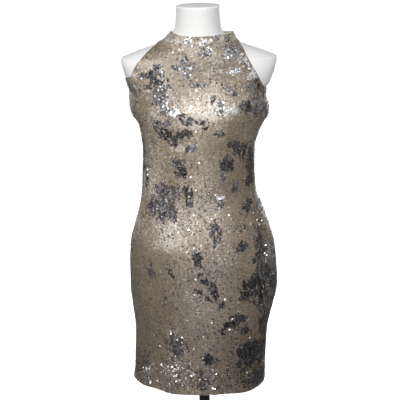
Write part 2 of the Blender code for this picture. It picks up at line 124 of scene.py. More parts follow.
CLOTH_SECTIONS = table(
    Section,
    (322, 185, 160, 131, 126, 2.1), (345, 181, 160, 129, 126, 2.1),
    (400, 178, 162, 126, 126, 2.15), (467, 176, 167, 123, 127, 2.2),
    (533, 182, 183, 120, 129, 2.25), (583, 186, 193, 117, 131, 2.25),
    (640, 186, 191, 114, 130, 2.25), (700, 182, 184, 110, 122, 2.2),
    (740, 172, 173, 107, 113, 2.2), (790, 157, 155, 101, 101, 2.15), (840, 149, 139, 97, 91, 2.15),
    (890, 146, 136, 96, 86, 2.15), (940, 144, 137, 101, 88, 2.2), (980, 147.5, 147, 109, 93, 2.2),
    (1010, 154, 161, 116, 97, 2.25), (1032, 169, 174, 121, 100, 2.25),
    (1056, 175, 173, 124, 102, 2.25), (1075, 175.5, 167.5, 123, 104, 2.22),
    (1092, 176, 168.5, 120, 105, 2.17), (1108, 187, 185, 116, 105, 2.1),
    (1124, 196, 195, 111, 103, 2.05), (1140, 203, 203, 105, 101, 2), (1157, 206, 206, 99, 98, 2),
    (1172.5, 203, 203, 93, 96, 2), (1184.5, 176, 176, 89, 94, 2), (1198.5, 138, 138, 85, 92, 2),
    (1208.5, 107, 107, 82, 89.5, 2), (1214, 91, 97, 79, 87, 2), (1226, 77, 91, 74, 84, 2),
    (1235, 66, 86, 69, 81.5, 2),
)
NECK_SECTIONS = table(
    Section,
    (1222, 76, 76, 69, 79, 2), (1230, 68, 68, 64, 72, 2), (1240, 64, 64, 61, 67, 2),
    (1252, 61, 61, 60, 63, 2), (1272, 59.3, 59.3, 60, 59, 2), (1300, 58.5, 58.5, 62, 55, 2),
)


class Armhole(NamedTuple):
    """How far a panel reaches to each side at one height of its armholes, in mm."""

    height: float
    left: float
    right: float


FRONT_ARMHOLE = table(
    Armhole,
    (1088, 176, 172.5), (1094, 173, 163), (1108, 171.5, 156), (1125, 169, 147.5), (1140, 164, 140),
    (1155, 157, 131.5), (1170, 147, 123), (1186, 132.5, 114.5), (1200, 117, 108),
    (1208, 104.5, 101), (1214, 91, 97),
)
BACK_ARMHOLE = table(
    Armhole,
    (1088, 176, 172.5), (1094, 171, 164), (1108, 160, 153), (1125, 148, 143), (1145, 136, 133),
    (1165, 127, 124), (1186, 116, 113), (1200, 105, 104), (1208, 97, 99.5), (1214, 91, 97),
)
ARMHOLES = {"front": FRONT_ARMHOLE, "back": BACK_ARMHOLE}


class SideSeam(NamedTuple):
    """How far the left side seam runs in front of the very side at one height, in degrees.

    The gap is the width in degrees of the slit that stays open along it below the armhole.
    """

    height: float
    forward: float
    gap: float


LEFT_SEAM = table(
    SideSeam,
    (322, 0, 0), (950, 0, 0), (1005, 9, 0), (1040, 21, 0), (1066, 27.5, 0), (1083, 30.5, 0),
    (1087, 31.4, 4.6), (1094, 33.2, 6.4), (1108, 35.6, 6.4), (1115, 35, 4.2), (1118.5, 33.4, 0),
)


class ArmRim(NamedTuple):
    """How far the cloth may reach to the left at one height, where it lies on the arm's rim."""

    height: float
    left: float


LEFT_ARM_RIM = table(
    ArmRim,
    (1040, 230), (1075, 194), (1092, 185), (1108, 180.5), (1124, 184.5), (1140, 190.5),
    (1160, 197), (1173, 201), (1214, 230),
)


class Fold(NamedTuple):
    """A soft ridge between two places, each an angle in degrees and a height in mm.

    Its half width and its rise are in mm, and it fades out at both ends. A negative rise is a
    trough.
    """

    top_angle: float
    top_height: float
    low_angle: float
    low_height: float
    half_width: float
    rise: float


# Drag lines from the underarms and the hips, breaks in the small of the back, flutes at the hem
MAIN_FOLDS = table(
    Fold,
    (143, 1046, 150, 920, 20, 3.6), (36, 1015, 29, 925, 19, 2.8), (164, 812, 141, 690, 21, 3.2),
    (19, 780, 37, 672, 20, 2.6), (207, 968, 240, 896, 20, 3.4), (331, 950, 303, 872, 19, 3),
    (218, 884, 246, 812, 18, 2.6), (322, 856, 297, 790, 18, 2.9), (139, 470, 146, 150, 24, 4.2),
    (61, 430, 55, 170, 23, 3.1), (228, 480, 222, 140, 26, 4), (309, 440, 315, 160, 25, 3.5),
)
# Smaller creases between them, each placed one by one
SMALL_CREASES = table(
    Fold,
    (120, 1006, 133, 942, 9, -1.1), (70, 1012, 52, 958, 8, 1), (101, 905, 128, 874, 9, 1.2),
    (79, 884, 49, 850, 10, -1.1), (150, 770, 122, 735, 11, 1.3), (31, 745, 60, 702, 10, 1.1),
    (96, 640, 88, 520, 13, -1), (118, 420, 124, 250, 12, -1.3), (82, 390, 79, 240, 11, 1.2),
    (168, 600, 160, 470, 13, 1.2), (12, 560, 22, 450, 12, 1.1), (196, 1010, 228, 962, 9, 1.2),
    (344, 1004, 313, 948, 9, -1.2), (252, 930, 226, 905, 8, 1), (288, 902, 316, 884, 8, 1.1),
    (243, 760, 214, 700, 12, 1.3), (299, 745, 329, 690, 11, 1.2), (250, 420, 247, 230, 12, -1.2),
    (288, 400, 292, 240, 11, 1.2),
)


@dataclass(frozen=True)
class SoftNoise:
    """Smooth noise from -1 to 1 on a lattice of seeded values.

    Formula: between the four values round a point, the mean weighted by 3t^2 - 2t^3 along each
    axis. Each further octave has half the cell and half the weight, and starts elsewhere.
    """

    seed: int
    cell_width: float
    cell_height: float
    octaves: int = 1

    LATTICE = 128
    OCTAVE_MOVE = (17.3, 5.9)

    def at(self, across: Array, up: Array) -> Array:
        """The noise at some places.

        Args:
            across: places along the first axis, in metres.
            up: places along the second axis, in metres.

        Returns:
            One value from -1 to 1 for each place.
        """
        values = np.random.default_rng(self.seed).uniform(-1, 1, (self.LATTICE, self.LATTICE))
        weights = 0.5 ** np.arange(self.octaves)
        total = np.zeros(np.shape(across))
        for octave, weight in enumerate(weights):
            u = across / self.cell_width * 2**octave + self.OCTAVE_MOVE[0] * octave
            v = up / self.cell_height * 2**octave + self.OCTAVE_MOVE[1] * octave
            i, j = np.floor(u).astype(int), np.floor(v).astype(int)
            s, t = u - i, v - j
            s, t = s * s * (3 - 2 * s), t * t * (3 - 2 * t)
            i0, j0, i1, j1 = (k % self.LATTICE for k in (i, j, i + 1, j + 1))
            low = values[i0, j0] * (1 - s) + values[i1, j0] * s
            high = values[i0, j1] * (1 - s) + values[i1, j1] * s
            total = total + weight * (low * (1 - t) + high * t)
        return total / weights.sum()


def unit(vectors: Array) -> Array:
    """Vectors brought to a length of one."""
    return vectors / np.linalg.norm(vectors, axis=-1, keepdims=True)


def column_at(rows: tuple, name: str, heights: Array) -> Array:
    """A table's column at any heights.

    Formula: a cubic between each two rows whose slope at a row is the harmonic mean of the
    slopes beside it, and level where they point apart, so the curve never overshoots.

    Args:
        rows: the table, whose rows have a height in mm.
        name: the column.
        heights: heights in metres.

    Returns:
        The column's values, in mm.
    """
    known = np.array([row.height for row in rows]) * MM
    values = np.array([getattr(row, name) for row in rows], float)
    rise = np.diff(values) / np.diff(known)
    product = rise[:-1] * rise[1:]
    total = np.where(product > 0, rise[:-1] + rise[1:], 1)
    middle = np.where(product > 0, 2 * product / total, 0)
    slope = np.concatenate([rise[:1], middle, rise[-1:]])
    k = np.clip(np.searchsorted(known, heights) - 1, 0, len(known) - 2)
    span = known[k + 1] - known[k]
    t = np.clip((heights - known[k]) / span, 0, 1)
    start = values[k] * (1 + 2 * t) * (1 - t) ** 2 + values[k + 1] * t * t * (3 - 2 * t)
    return start + span * t * (1 - t) * (slope[k] * (1 - t) - slope[k + 1] * t)


class Frames(NamedTuple):
    """Places on a surface, each with three directions at right angles."""

    point: Array
    right: Array
    up: Array
    out: Array


@dataclass(frozen=True)
class DrapedSurface:
    """A surface through level sections, with soft folds on it.

    An angle of 0 is the right side, 90 degrees the front, 180 the left side and 270 the back.
    """

    sections: tuple[Section, ...]
    folds: tuple[Fold, ...] = ()
    arm_rim: tuple[ArmRim, ...] = ()

    TURN = math.radians(0.5)
    CLIMB = 1 * MM

    def plain(self, angles: Array, heights: Array) -> Array:
        """Points on the surface without its folds.

        Formula: x and y are the section's reach times cosine and sine of the angle, each to the
        power 2 / square. Two bell-shaped mounds are the bust. Where the cloth lies on an arm's
        rim, x is the soft minimum of itself and of the rim's reach.
        """
        left, right, front, back = (
            column_at(self.sections, name, heights) * MM
            for name in ("left", "right", "front", "back")
        )
        power = 2 / column_at(self.sections, "square", heights)
        across, ahead = np.cos(angles), np.sin(angles)
        x = np.where(across > 0, right, left) * np.sign(across) * np.abs(across) ** power
        y = np.where(ahead > 0, -front, back) * np.abs(ahead) ** power
        mound = np.exp(-(((np.abs(x) - BUST_APART) / BUST_HALF_WIDTH) ** 2))
        mound = mound * np.exp(-(((heights - BUST_HEIGHT) / BUST_HALF_HEIGHT) ** 2))
        y = y - BUST_RISE * mound * np.clip(ahead, 0, 1)
        if self.arm_rim:
            rim = column_at(self.arm_rim, "left", heights) * MM
            k = ARM_RIM_ROUNDING
            x = np.where(x < 0, k * np.logaddexp(x / k, -rim / k), x)
        z = heights + self.hem_shift(across, heights) + self.band_shift(angles, heights)
        return np.stack([x, y, z], axis=-1)

    def hem_shift(self, across: Array, heights: Array) -> Array:
        """How much higher the hem hangs than level: a step up to the left, a sag to the right."""
        step = np.clip((-across - HEM_STEP_START) / HEM_STEP_WIDTH, 0, 1)
        sag = np.exp(-(((across - HEM_SAG_PLACE) / HEM_SAG_WIDTH) ** 2))
        shift = HEM_LEFT_RISE * step * step * (3 - 2 * step) - HEM_RIGHT_DROP * sag
        return shift * np.exp(-(((heights - HEM_HEIGHT) / HEM_FADE) ** 2))

    def band_shift(self, angles: Array, heights: Array) -> Array:
        """How much higher the neckband's top stands than level.

        It dips in front and at the two back quarters, and stands up a little on the left.
        """
        band = np.clip((heights - NECK_SEAM_HEIGHT) / (BAND_TOP_HEIGHT - NECK_SEAM_HEIGHT), 0, 1)
        ahead, left = np.sin(angles), np.clip(-np.cos(angles), 0, 1)
        quarters = np.abs(np.sin(2 * angles)) * (ahead < 0)
        dip = BAND_FRONT_DIP * np.clip(ahead, 0, 1) + BAND_BACK_DIP * quarters
        return band * (BAND_LEFT_RISE * left**4 - dip)

    def lift(self, angles: Array, heights: Array) -> Array:
        """How far the folds raise the cloth: a bell curve across, half a sine wave along."""
        lift = np.zeros(np.broadcast(angles, heights).shape)
        for fold in self.folds:
            top = np.array([math.radians(fold.top_angle) * FOLD_RADIUS, fold.top_height * MM])
            low = np.array([math.radians(fold.low_angle) * FOLD_RADIUS, fold.low_height * MM])
            length = np.linalg.norm(low - top)
            along_x, along_z = (low - top) / length
            x, z = (angles % (2 * math.pi)) * FOLD_RADIUS - top[0], heights - top[1]
            share = np.clip((x * along_x + z * along_z) / length, 0, 1)
            off_line = (x * along_z - z * along_x) / (fold.half_width * MM)
            lift = lift + fold.rise * MM * np.sin(math.pi * share) * np.exp(-(off_line**2))
        return lift

    def points(self, angles: Array, heights: Array, depth: float | Array = 0.0) -> Array:
        """Points on the folded cloth, or some way inside it.

        Args:
            angles: angles round the surface.
            heights: heights in metres, of a shape that goes with the angles.
            depth: how far inside the cloth's outside the points lie.

        Returns:
            The points, one more axis of three.
        """
        angles, heights = np.broadcast_arrays(angles, heights)
        raised = self.lift(angles, heights) - depth
        return self.plain(angles, heights) + raised[..., None] * self.outward(angles, heights)

    def slopes(self, shape: Callable, angles: Array, heights: Array) -> Pair:
        """The directions up a shape and out of it, from the points just beside each place."""
        along = shape(angles + self.TURN, heights) - shape(angles - self.TURN, heights)
        up = shape(angles, heights + self.CLIMB) - shape(angles, heights - self.CLIMB)
        return unit(up), unit(np.cross(up, along))

    def outward(self, angles: Array, heights: Array) -> Array:
        """The plain surface's outward directions."""
        return self.slopes(self.plain, angles, heights)[1]

    def frames(self, angles: Array, heights: Array) -> Frames:
        """Points on the folded cloth with the directions right, up and out at each."""
        up, out = self.slopes(self.points, angles, heights)
        return Frames(self.points(angles, heights), np.cross(up, out), up, out)

    def rate_along(self, angles: Array, heights: Array) -> Array:
        """Metres along a level line of the surface for each radian of angle."""
        run = self.plain(angles + self.TURN, heights) - self.plain(angles - self.TURN, heights)
        return np.linalg.norm(run, axis=-1) / (2 * self.TURN)


def edge_angles(heights: Array, side: str, half: str) -> Array:
    """The angle between a seam or armhole edge and the very side.

    Args:
        heights: heights in metres.
        side: left or right.
        half: front or back.

    Returns:
        An angle for each height: half the seam gap below the underarm, the cut above it. The
        left armhole's bottom lies higher, and is a nearly level lip.
    """
    power = column_at(CLOTH_SECTIONS, "square", heights) / 2
    widest = column_at(CLOTH_SECTIONS, side, heights) * MM
    reach = column_at(ARMHOLES[half], side, heights) * MM
    cut = np.arccos(np.clip(reach / widest, 0, 1) ** power)
    seam = (SEAM_GAP / 2 / (column_at(CLOTH_SECTIONS, half, heights) * MM)) ** power
    bottom = UNDERARM_HEIGHT
    if side == "left":
        bottom = LEFT_UNDERARM_HEIGHT
        cut = cut * np.clip((heights - bottom) / LEFT_LIP, 0, 1) ** LEFT_LIP_POWER
    return np.where(heights > bottom, np.maximum(cut, seam), seam)


def seam_forward(heights: Array) -> Pair:
    """How far before the left side the side seam runs, and its slit's width, in radians."""
    below = heights < SLIT_TOP_HEIGHT
    return tuple(
        np.where(below, np.radians(column_at(LEFT_SEAM, name, heights)), 0.0)
        for name in ("forward", "gap")
    )


@dataclass(frozen=True)
class Panel:
    """A piece of the dress's pattern, between two edges that are angles at each height."""

    name: str
    node: str
    middle: float

    def edges(self, heights: Array) -> Pair:
        """The panel's first and last angle at each height."""
        forward, gap = seam_forward(heights)
        if self.node == "dress_front":
            last = LEFT_SIDE - forward - edge_angles(heights, "left", "front")
            return edge_angles(heights, "right", "front"), last
        power = column_at(CLOTH_SECTIONS, "square", heights) / 2
        width = column_at(CLOTH_SECTIONS, "left", heights) * MM
        zip_edge = (SEAM_GAP / 2 / width) ** power
        if self.node == "dress_back_left":
            first = LEFT_SIDE - forward + gap + edge_angles(heights, "left", "back")
            return first, BACK_MIDDLE - zip_edge
        if self.node == "dress_back_right":
            last = RIGHT_SIDE - edge_angles(heights, "right", "back")
            return BACK_MIDDLE + zip_edge, last
        return BACK_MIDDLE - RIGHT_SIDE + zip_edge, BACK_MIDDLE - zip_edge


FRONT = Panel("front", "dress_front", FRONT_MIDDLE)
BACK_LEFT = Panel("back_left", "dress_back_left", BACK_MIDDLE)
BACK_RIGHT = Panel("back_right", "dress_back_right", BACK_MIDDLE)
NECKBAND = Panel("neckband", "neckband", FRONT_MIDDLE)


# Meshes


def grid_quads(lines: int, columns: int, closed: bool = False, first: int = 0) -> Array:
    """The quads of a grid of points, each round the way of line, then column.

    Args:
        lines: how many lines of points there are.
        columns: how many points each line has.
        closed: whether each line's end joins its start.
        first: the number of the grid's first point.

    Returns:
        One row of four point numbers for each quad.
    """
    index = np.arange(lines * columns).reshape(lines, columns) + first
    if closed:
        index = np.concatenate([index, index[:, :1]], axis=1)
    corners = [index[:-1, :-1], index[1:, :-1], index[1:, 1:], index[:-1, 1:]]
    return np.stack(corners, -1).reshape(-1, 4)


def weld(mesh: Mesh, flat: float = 0.0) -> None:
    """Joins a mesh's points that meet, and turns its faces outwards.

    Args:
        mesh: the mesh, which is changed.
        flat: faces that meet at less than this angle in radians become one.
    """
    bm = bmesh.new()
    bm.from_mesh(mesh)
    bmesh.ops.remove_doubles(bm, verts=bm.verts, dist=WELD_REACH)
    if flat:
        bmesh.ops.dissolve_limit(bm, angle_limit=flat, verts=bm.verts, edges=bm.edges)
    bmesh.ops.recalc_face_normals(bm, faces=bm.faces)
    bm.to_mesh(mesh)
    bm.free()


def add_object(name: str, data: bpy.types.ID) -> Object:
    """A new object in the scene."""
    obj = bpy.data.objects.new(name, data)
    bpy.context.scene.collection.objects.link(obj)
    return obj


def add_piece(name: str, mesh: Mesh, body: str = "root") -> Object:
    """A piece of the scene.

    Args:
        name: the piece's name.
        mesh: its mesh, with its materials.
        body: the frame's body that it rides on.

    Returns:
        The new object.
    """
    obj = add_object(name, mesh)
    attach(obj, body)
    log.info("%s: %d faces", name, len(mesh.polygons))
    return obj


def piece(
    name: str, shape: Pair, finish: "Finish", merge: bool = False, sharp: float = 35
) -> Object:
    """A piece of the scene at the origin, smooth but for its sharp edges.

    Args:
        name: the piece's name.
        shape: its points, and its faces, four point numbers each.
        finish: what it is finished with.
        merge: whether points that meet are joined, as at a pole.
        sharp: the angle in degrees past which an edge is sharp.

    Returns:
        The new object.
    """
    points, quads = shape
    mesh = bpy.data.meshes.new(name)
    mesh.from_pydata(points.reshape(-1, 3), [], quads.tolist())
    if merge:
        weld(mesh)
    mesh.materials.append(finish.material())
    mesh.shade_smooth()
    mesh.set_sharp_from_angle(angle=math.radians(sharp))
    return add_piece(name, mesh)


def round_edges(obj: Object, width: float, segments: int) -> None:
    """Rounds a piece's sharp edges, each over so wide a strip."""
    bevel = obj.modifiers.new("rounded edges", "BEVEL")
    bevel.width, bevel.segments, bevel.limit_method = width, segments, "ANGLE"
    bevel.harden_normals = True


def wall(outer: Array, inner: Array) -> Pair:
    """A closed wall between two grids of points.

    Formula: the outer grid's quads, the inner grid's turned round, and a strip that joins the
    two round their rim.

    Args:
        outer: lines by columns by three, with angles that grow along a line.
        inner: the same points on the inside.

    Returns:
        The points and the quads.
    """
    lines, columns = outer.shape[:2]
    count = lines * columns
    index = np.arange(count).reshape(lines, columns)
    rim = np.concatenate([index[0, :-1], index[:-1, -1], index[-1, :0:-1], index[:0:-1, 0]])
    after = np.roll(rim, -1)
    strip = np.stack([rim, after, after + count, rim + count], -1)
    quads = [grid_quads(lines, columns), grid_quads(lines, columns, first=count)[:, ::-1], strip]
    return np.concatenate([outer.reshape(-1, 3), inner.reshape(-1, 3)]), np.concatenate(quads)


def tube(
    path: Array, out: Array, half_width: float, half_depth: float, closed: bool = False
) -> Pair:
    """A tube of an oval section along a path.

    Formula: each ring is the path's point plus the half width times cosine along the cloth, and
    the half depth times sine outwards.

    Args:
        path: the points of its middle.
        out: the outward direction at each point.
        half_width: half its width along the cloth.
        half_depth: half its thickness.
        closed: whether its end meets its start.

    Returns:
        The points and the quads. An open tube ends in a point at both ends.
    """
    if closed:
        ahead = np.roll(path, -1, axis=0) - np.roll(path, 1, axis=0)
    else:
        ahead = np.gradient(path, axis=0)
    across = unit(np.cross(out, unit(ahead)))
    turns = np.linspace(0, 2 * math.pi, TUBE_SIDES, endpoint=False)
    ring = half_width * np.cos(turns)[None, :, None] * across[:, None]
    ring = ring + half_depth * np.sin(turns)[None, :, None] * unit(out)[:, None]
    rings = path[:, None] + ring
    if closed:
        rings = np.concatenate([rings, rings[:1]])
    else:
        ends = [np.repeat(path[k][None, None], TUBE_SIDES, axis=1) for k in (0, -1)]
        rings = np.concatenate([ends[0], rings, ends[1]])
    return rings.reshape(-1, 3), grid_quads(len(rings), TUBE_SIDES, closed=True)[:, ::-1]


def lathe(profile: Profile, segments: int) -> Pair:
    """A profile of radius and height turned about the Z axis, its outside listed downwards."""
    turns = np.linspace(0, 2 * math.pi, segments, endpoint=False)
    radius, height = np.array(profile).T[:, :, None]
    level = np.broadcast_to(height, (len(profile), segments))
    points = np.stack([radius * np.cos(turns), radius * np.sin(turns), level], -1)
    return points.reshape(-1, 3), grid_quads(len(profile), segments, closed=True)


# Finishes


def linear(hex_colour: str) -> tuple[float, float, float, float]:
    """An sRGB hex colour as linear light.

    Formula: c / 12.92 up to 0.04045, and ((c + 0.055) / 1.055)^2.4 above it.
    """
    shares = [int(hex_colour[k : k + 2], 16) / 255 for k in (1, 3, 5)]
    light = [c / 12.92 if c <= 0.04045 else ((c + 0.055) / 1.055) ** 2.4 for c in shares]
    return (*light, 1.0)


def set_inputs(node: Node, inputs: Inputs) -> None:
    """Gives a node's inputs their values, and links those that other nodes' sockets feed."""
    for name, value in inputs.items():
        if isinstance(value, Socket):
            node.id_data.links.new(value, node.inputs[name])
        else:
            node.inputs[name].default_value = value


def set_ramp(node: Node, stops: Stops) -> None:
    """Gives a colour ramp its stops: each a place and an sRGB hex colour."""
    elements = node.color_ramp.elements
    while len(elements) > 1:
        elements.remove(elements[-1])
    elements[0].position, elements[0].color = stops[0][0], linear(stops[0][1])
    for place, colour in stops[1:]:
        elements.new(place).color = linear(colour)


def add_node(tree: Tree, kind: str, settings: dict[str, Any], inputs: Inputs) -> Node:
    """Adds a node.

    Args:
        tree: the material's node tree.
        kind: the node's type name, after ShaderNode.
        settings: values of its own properties, or the stops of a colour ramp.
        inputs: values, or other nodes' sockets, for its inputs.

    Returns:
        The new node.
    """
    node = tree.nodes.new(f"ShaderNode{kind}")
    for name, value in settings.items():
        if name == "stops":
            set_ramp(node, value)
        else:
            setattr(node, name, value)
    set_inputs(node, inputs)
    return node


@dataclass(frozen=True)
class Finish:
    """A named material around one Principled shader, whose inputs dress() gives.

    relief is how deep its surface pattern is, in metres.
    """

    name: str = "finish"
    relief: float = 0.0

    def material(self) -> bpy.types.Material:
        """The finished material, made at its first use."""
        known = bpy.data.materials.get(self.name)
        if known:
            return known
        made = bpy.data.materials.new(self.name)
        made.use_nodes = True
        place = add_node(made.node_tree, "TexCoord", {}, {}).outputs["Object"]
        shader = made.node_tree.nodes["Principled BSDF"]
        set_inputs(shader, self.dress(made.node_tree, place))
        return made

    def dress(self, tree: Tree, place: Socket) -> Inputs:
        """Adds the finish's nodes.

        Args:
            tree: the material's node tree.
            place: the socket that gives a point's place in metres.

        Returns:
            What the shader's inputs are set to or fed by.
        """
        raise NotImplementedError

    def cover(
        self, tree: Tree, stops: Stops, colour: Socket, relief: Socket, invert: bool = False
    ) -> Inputs:
        """Colours the surface by one pattern and raises another on it.

        Args:
            tree: the material's node tree.
            stops: the colours along the first pattern.
            colour: the first pattern's socket.
            relief: the second pattern's socket.
            invert: whether the second pattern's high places lie low.

        Returns:
            What feeds the shader's colour and normal.
        """
        ramp = add_node(tree, "ValToRGB", {"stops": stops}, {"Fac": colour})
        height = {"Distance": self.relief, "Height": relief}
        bump = add_node(tree, "Bump", {"invert": invert}, height)
        return {"Base Color": ramp.outputs["Color"], "Normal": bump.outputs["Normal"]}


@dataclass(frozen=True)
class SequinFoil(Finish):
    """One side of a flip sequin: a lacquered metal film punched from polyester sheet.

    Each sequin has a tone of its own, so the cloth glitters grain by grain. The film takes small
    dents as it is punched, which break up each reflection.
    """

    stops: Stops = ()
    metallic: float = 1.0
    roughness: float = 0.3
    gloss: float = 0.5
    coat: float = 0.0
    coat_roughness: float = 0.27
    relief: float = 0.02 * MM
    dent_size: float = 2.2 * MM

    TINTS = ((0.0, "#E0E8F2"), (0.5, "#FFFDFB"), (1.0, "#F4E8F2"))

    def dress(self, tree: Tree, place: Socket) -> Inputs:
        """Colour from each sequin's tone, tint from its batch, dents from a fine noise."""
        colours = []
        for name, stops in (("tone", self.stops), ("tint", self.TINTS)):
            value = add_node(tree, "Attribute", {"attribute_name": name}, {}).outputs["Fac"]
            ramp = add_node(tree, "ValToRGB", {"stops": stops}, {"Fac": value})
            colours.append(ramp.outputs["Color"])
        mixing = {"data_type": "RGBA", "blend_type": "MULTIPLY"}
        mixed = add_node(tree, "Mix", mixing, {0: 1.0, 6: colours[0], 7: colours[1]})
        pattern = {"Vector": place, "Scale": 1 / self.dent_size, "Detail": 1.0}
        dents = add_node(tree, "TexNoise", {}, pattern).outputs["Fac"]
        bump = add_node(tree, "Bump", {}, {"Distance": self.relief, "Height": dents})
        return {
            "Base Color": mixed.outputs[2],
            "Normal": bump.outputs["Normal"],
            "Metallic": self.metallic,
            "Roughness": self.roughness,
            "Specular IOR Level": self.gloss,
            "Coat Weight": self.coat,
            "Coat Roughness": self.coat_roughness,
        }


CHAMPAGNE_FOIL = SequinFoil(
    "champagne lacquered sequin film",
    stops=((0.0, "#4A4037"), (0.35, "#766857"), (0.65, "#948674"), (1.0, "#DAD1C6")),
    metallic=0.2,
    roughness=0.4,
    gloss=0.9,
    coat=0.5,
)
# Its stops run up to near white, which only the white patches reach: that end is a painted glint
GUNMETAL_FOIL = SequinFoil(
    "gunmetal sequin film",
    stops=((0.0, "#222123"), (0.3, "#595759"), (0.7, "#A3A2A4"), (1.0, "#F0F0F0")),
    metallic=0.6,
    roughness=0.32,
    coat=0.4,
)
MIRROR_FOIL = SequinFoil(
    "mirror sequin film", stops=((0.3, "#6E6860"), (0.75, "#F6F3EC")), roughness=0.19
)


@dataclass(frozen=True)
class KnitMesh(Finish):
    """Stretch power mesh: a fine net knitted from nylon and elastane, dyed to the sequins.

    Its holes are 1.1 mm apart, a soft, matt ground; its darker colours are partly the net's dye
    and partly painted shade between sequins.
    """

    yarn: str = "#8D7F6D"
    # Darker than the sequins partly as dye and partly as painted shade in the gaps between them
    hole_shade: str = "#4A4238"
    mesh_size: float = 1.1 * MM
    relief: float = 0.1 * MM

    def dress(self, tree: Tree, place: Socket) -> Inputs:
        """Cells of a fine net: light yarn round dark holes."""
        pattern = {"Vector": place, "Scale": 1 / self.mesh_size, "Randomness": 0.35}
        cells = add_node(tree, "TexVoronoi", {"feature": "DISTANCE_TO_EDGE"}, pattern)
        edge = cells.outputs["Distance"]
        stops = ((0.08, self.yarn), (0.2, self.hole_shade))
        cover = self.cover(tree, stops, edge, edge, invert=True)
        return {**cover, "Roughness": 0.8, "Sheen Weight": 0.2}


@dataclass(frozen=True)
class WovenSatin(Finish):
    """Polyester satin: long floats of bright yarn that give a soft directional shine.

    The yarns of the real cloth lie 0.2 mm apart. They are drawn 0.6 mm apart here, so that they
    show at all.
    """

    yarn: float = 0.6 * MM
    slub_size: float = 6.25 * MM
    relief: float = 0.05 * MM

    STOPS = ((0.3, "#D8D2C8"), (0.7, "#E9E4DC"))
    # How far apart a wave texture's ribs lie at a scale of 1
    WAVE_UNIT = 0.1 * math.pi

    def dress(self, tree: Tree, place: Socket) -> Inputs:
        """Fine slanting ribs, with slubs that vary the colour."""
        weave = {"wave_type": "BANDS", "bands_direction": "DIAGONAL"}
        pattern = {"Vector": place, "Scale": self.WAVE_UNIT / self.yarn, "Distortion": 0.6}
        ribs = add_node(tree, "TexWave", weave, pattern).outputs["Fac"]
        pattern = {"Vector": place, "Scale": 1 / self.slub_size, "Detail": 3.0}
        slubs = add_node(tree, "TexNoise", {}, pattern).outputs["Fac"]
        cover = self.cover(tree, self.STOPS, slubs, ribs)
        return {**cover, "Roughness": 0.45, "Sheen Weight": 0.3}


@dataclass(frozen=True)
class MouldedShell(Finish):
    """Glass-fibre shell in satin white paint: a smooth even white with a faint orange peel."""

    clouds_a_metre: float = 9.0
    ripples_a_metre: float = 170.0
    relief: float = 0.02 * MM

    STOPS = ((0.3, "#DEDEDD"), (0.7, "#E4E4E3"))

    def dress(self, tree: Tree, place: Socket) -> Inputs:
        """White that is a little uneven, and a very shallow ripple some 6 mm across."""
        pattern = {"Vector": place, "Scale": self.clouds_a_metre, "Detail": 3.0}
        clouds = add_node(tree, "TexNoise", {}, pattern).outputs["Fac"]
        pattern = {"Vector": place, "Scale": self.ripples_a_metre, "Detail": 1.0}
        ripple = add_node(tree, "TexNoise", {}, pattern).outputs["Fac"]
        cover = self.cover(tree, self.STOPS, clouds, ripple)
        return {**cover, "Roughness": 0.42, "Specular IOR Level": 0.4}


@dataclass(frozen=True)
class PowderCoat(Finish):
    """Steel in satin black powder coat: baked plastic powder, near black with a fine pebble."""

    pebble_size: float = 0.9 * MM
    relief: float = 0.06 * MM

    STOPS = ((0.3, "#131314"), (0.7, "#1E1E20"))

    def dress(self, tree: Tree, place: Socket) -> Inputs:
        """Black with pebbles 0.9 mm across, a little shinier on their tops."""
        pattern = {"Vector": place, "Scale": 1 / self.pebble_size, "Detail": 2.0}
        pebbles = add_node(tree, "TexNoise", {}, pattern).outputs["Fac"]
        shine = add_node(tree, "MapRange", {}, {"Value": pebbles, "To Min": 0.52, "To Max": 0.38})
        cover = self.cover(tree, self.STOPS, pebbles, pebbles)
        return {**cover, "Roughness": shine.outputs["Result"]}


@dataclass(frozen=True)
class PlatedNickel(Finish):
    """Zinc casting in tumbled bright nickel plate: warm silver with soft small scratches."""

    scratch_spacing: float = 0.4 * MM

    def dress(self, tree: Tree, place: Socket) -> Inputs:
        """Silver whose roughness varies in scratches 0.4 mm apart."""
        pattern = {"Vector": place, "Scale": 1 / self.scratch_spacing, "Detail": 3.0}
        marks = add_node(tree, "TexNoise", {}, pattern).outputs["Fac"]
        shine = add_node(tree, "MapRange", {}, {"Value": marks, "To Min": 0.14, "To Max": 0.32})
        return {
            "Base Color": linear("#C9C5BC"),
            "Metallic": 1.0,
            "Roughness": shine.outputs["Result"],
        }


@dataclass(frozen=True)
class StudioFloor(Finish):
    """Matt white sheet, lit to near white, which shows only a soft shadow."""

    clouds_a_metre: float = 0.7

    STOPS = ((0.3, "#F1F1F1"), (0.7, "#F6F6F6"))

    def dress(self, tree: Tree, place: Socket) -> Inputs:
        """White with a little light of its own, faintly uneven."""
        pattern = {"Vector": place, "Scale": self.clouds_a_metre}
        clouds = add_node(tree, "TexNoise", {}, pattern).outputs["Fac"]
        ramp = add_node(tree, "ValToRGB", {"stops": self.STOPS}, {"Fac": clouds})
        return {
            "Base Color": ramp.outputs["Color"],
            "Roughness": 0.9,
            "Specular IOR Level": 0.0,
            "Emission Color": (1, 1, 1, 1),
            "Emission Strength": 0.95,
        }


POWER_MESH = KnitMesh("stretch power mesh")
BINDING_MESH = KnitMesh(
    "binding of stretch mesh", yarn="#7C7061", hole_shade="#5A5146", mesh_size=0.8 * MM
)
ZIP_NYLON = KnitMesh(
    "zip tape and nylon coil", yarn="#857864", hole_shade="#6A5F50", mesh_size=0.7 * MM
)
FACING_SATIN = WovenSatin("pale facing satin")
FORM_SHELL = MouldedShell("satin white moulded shell")
BLACK_STEEL = PowderCoat("black powder-coated steel")
NICKEL = PlatedNickel("bright nickel plate")
WHITE_FLOOR = StudioFloor("matt white floor")


# Sequins


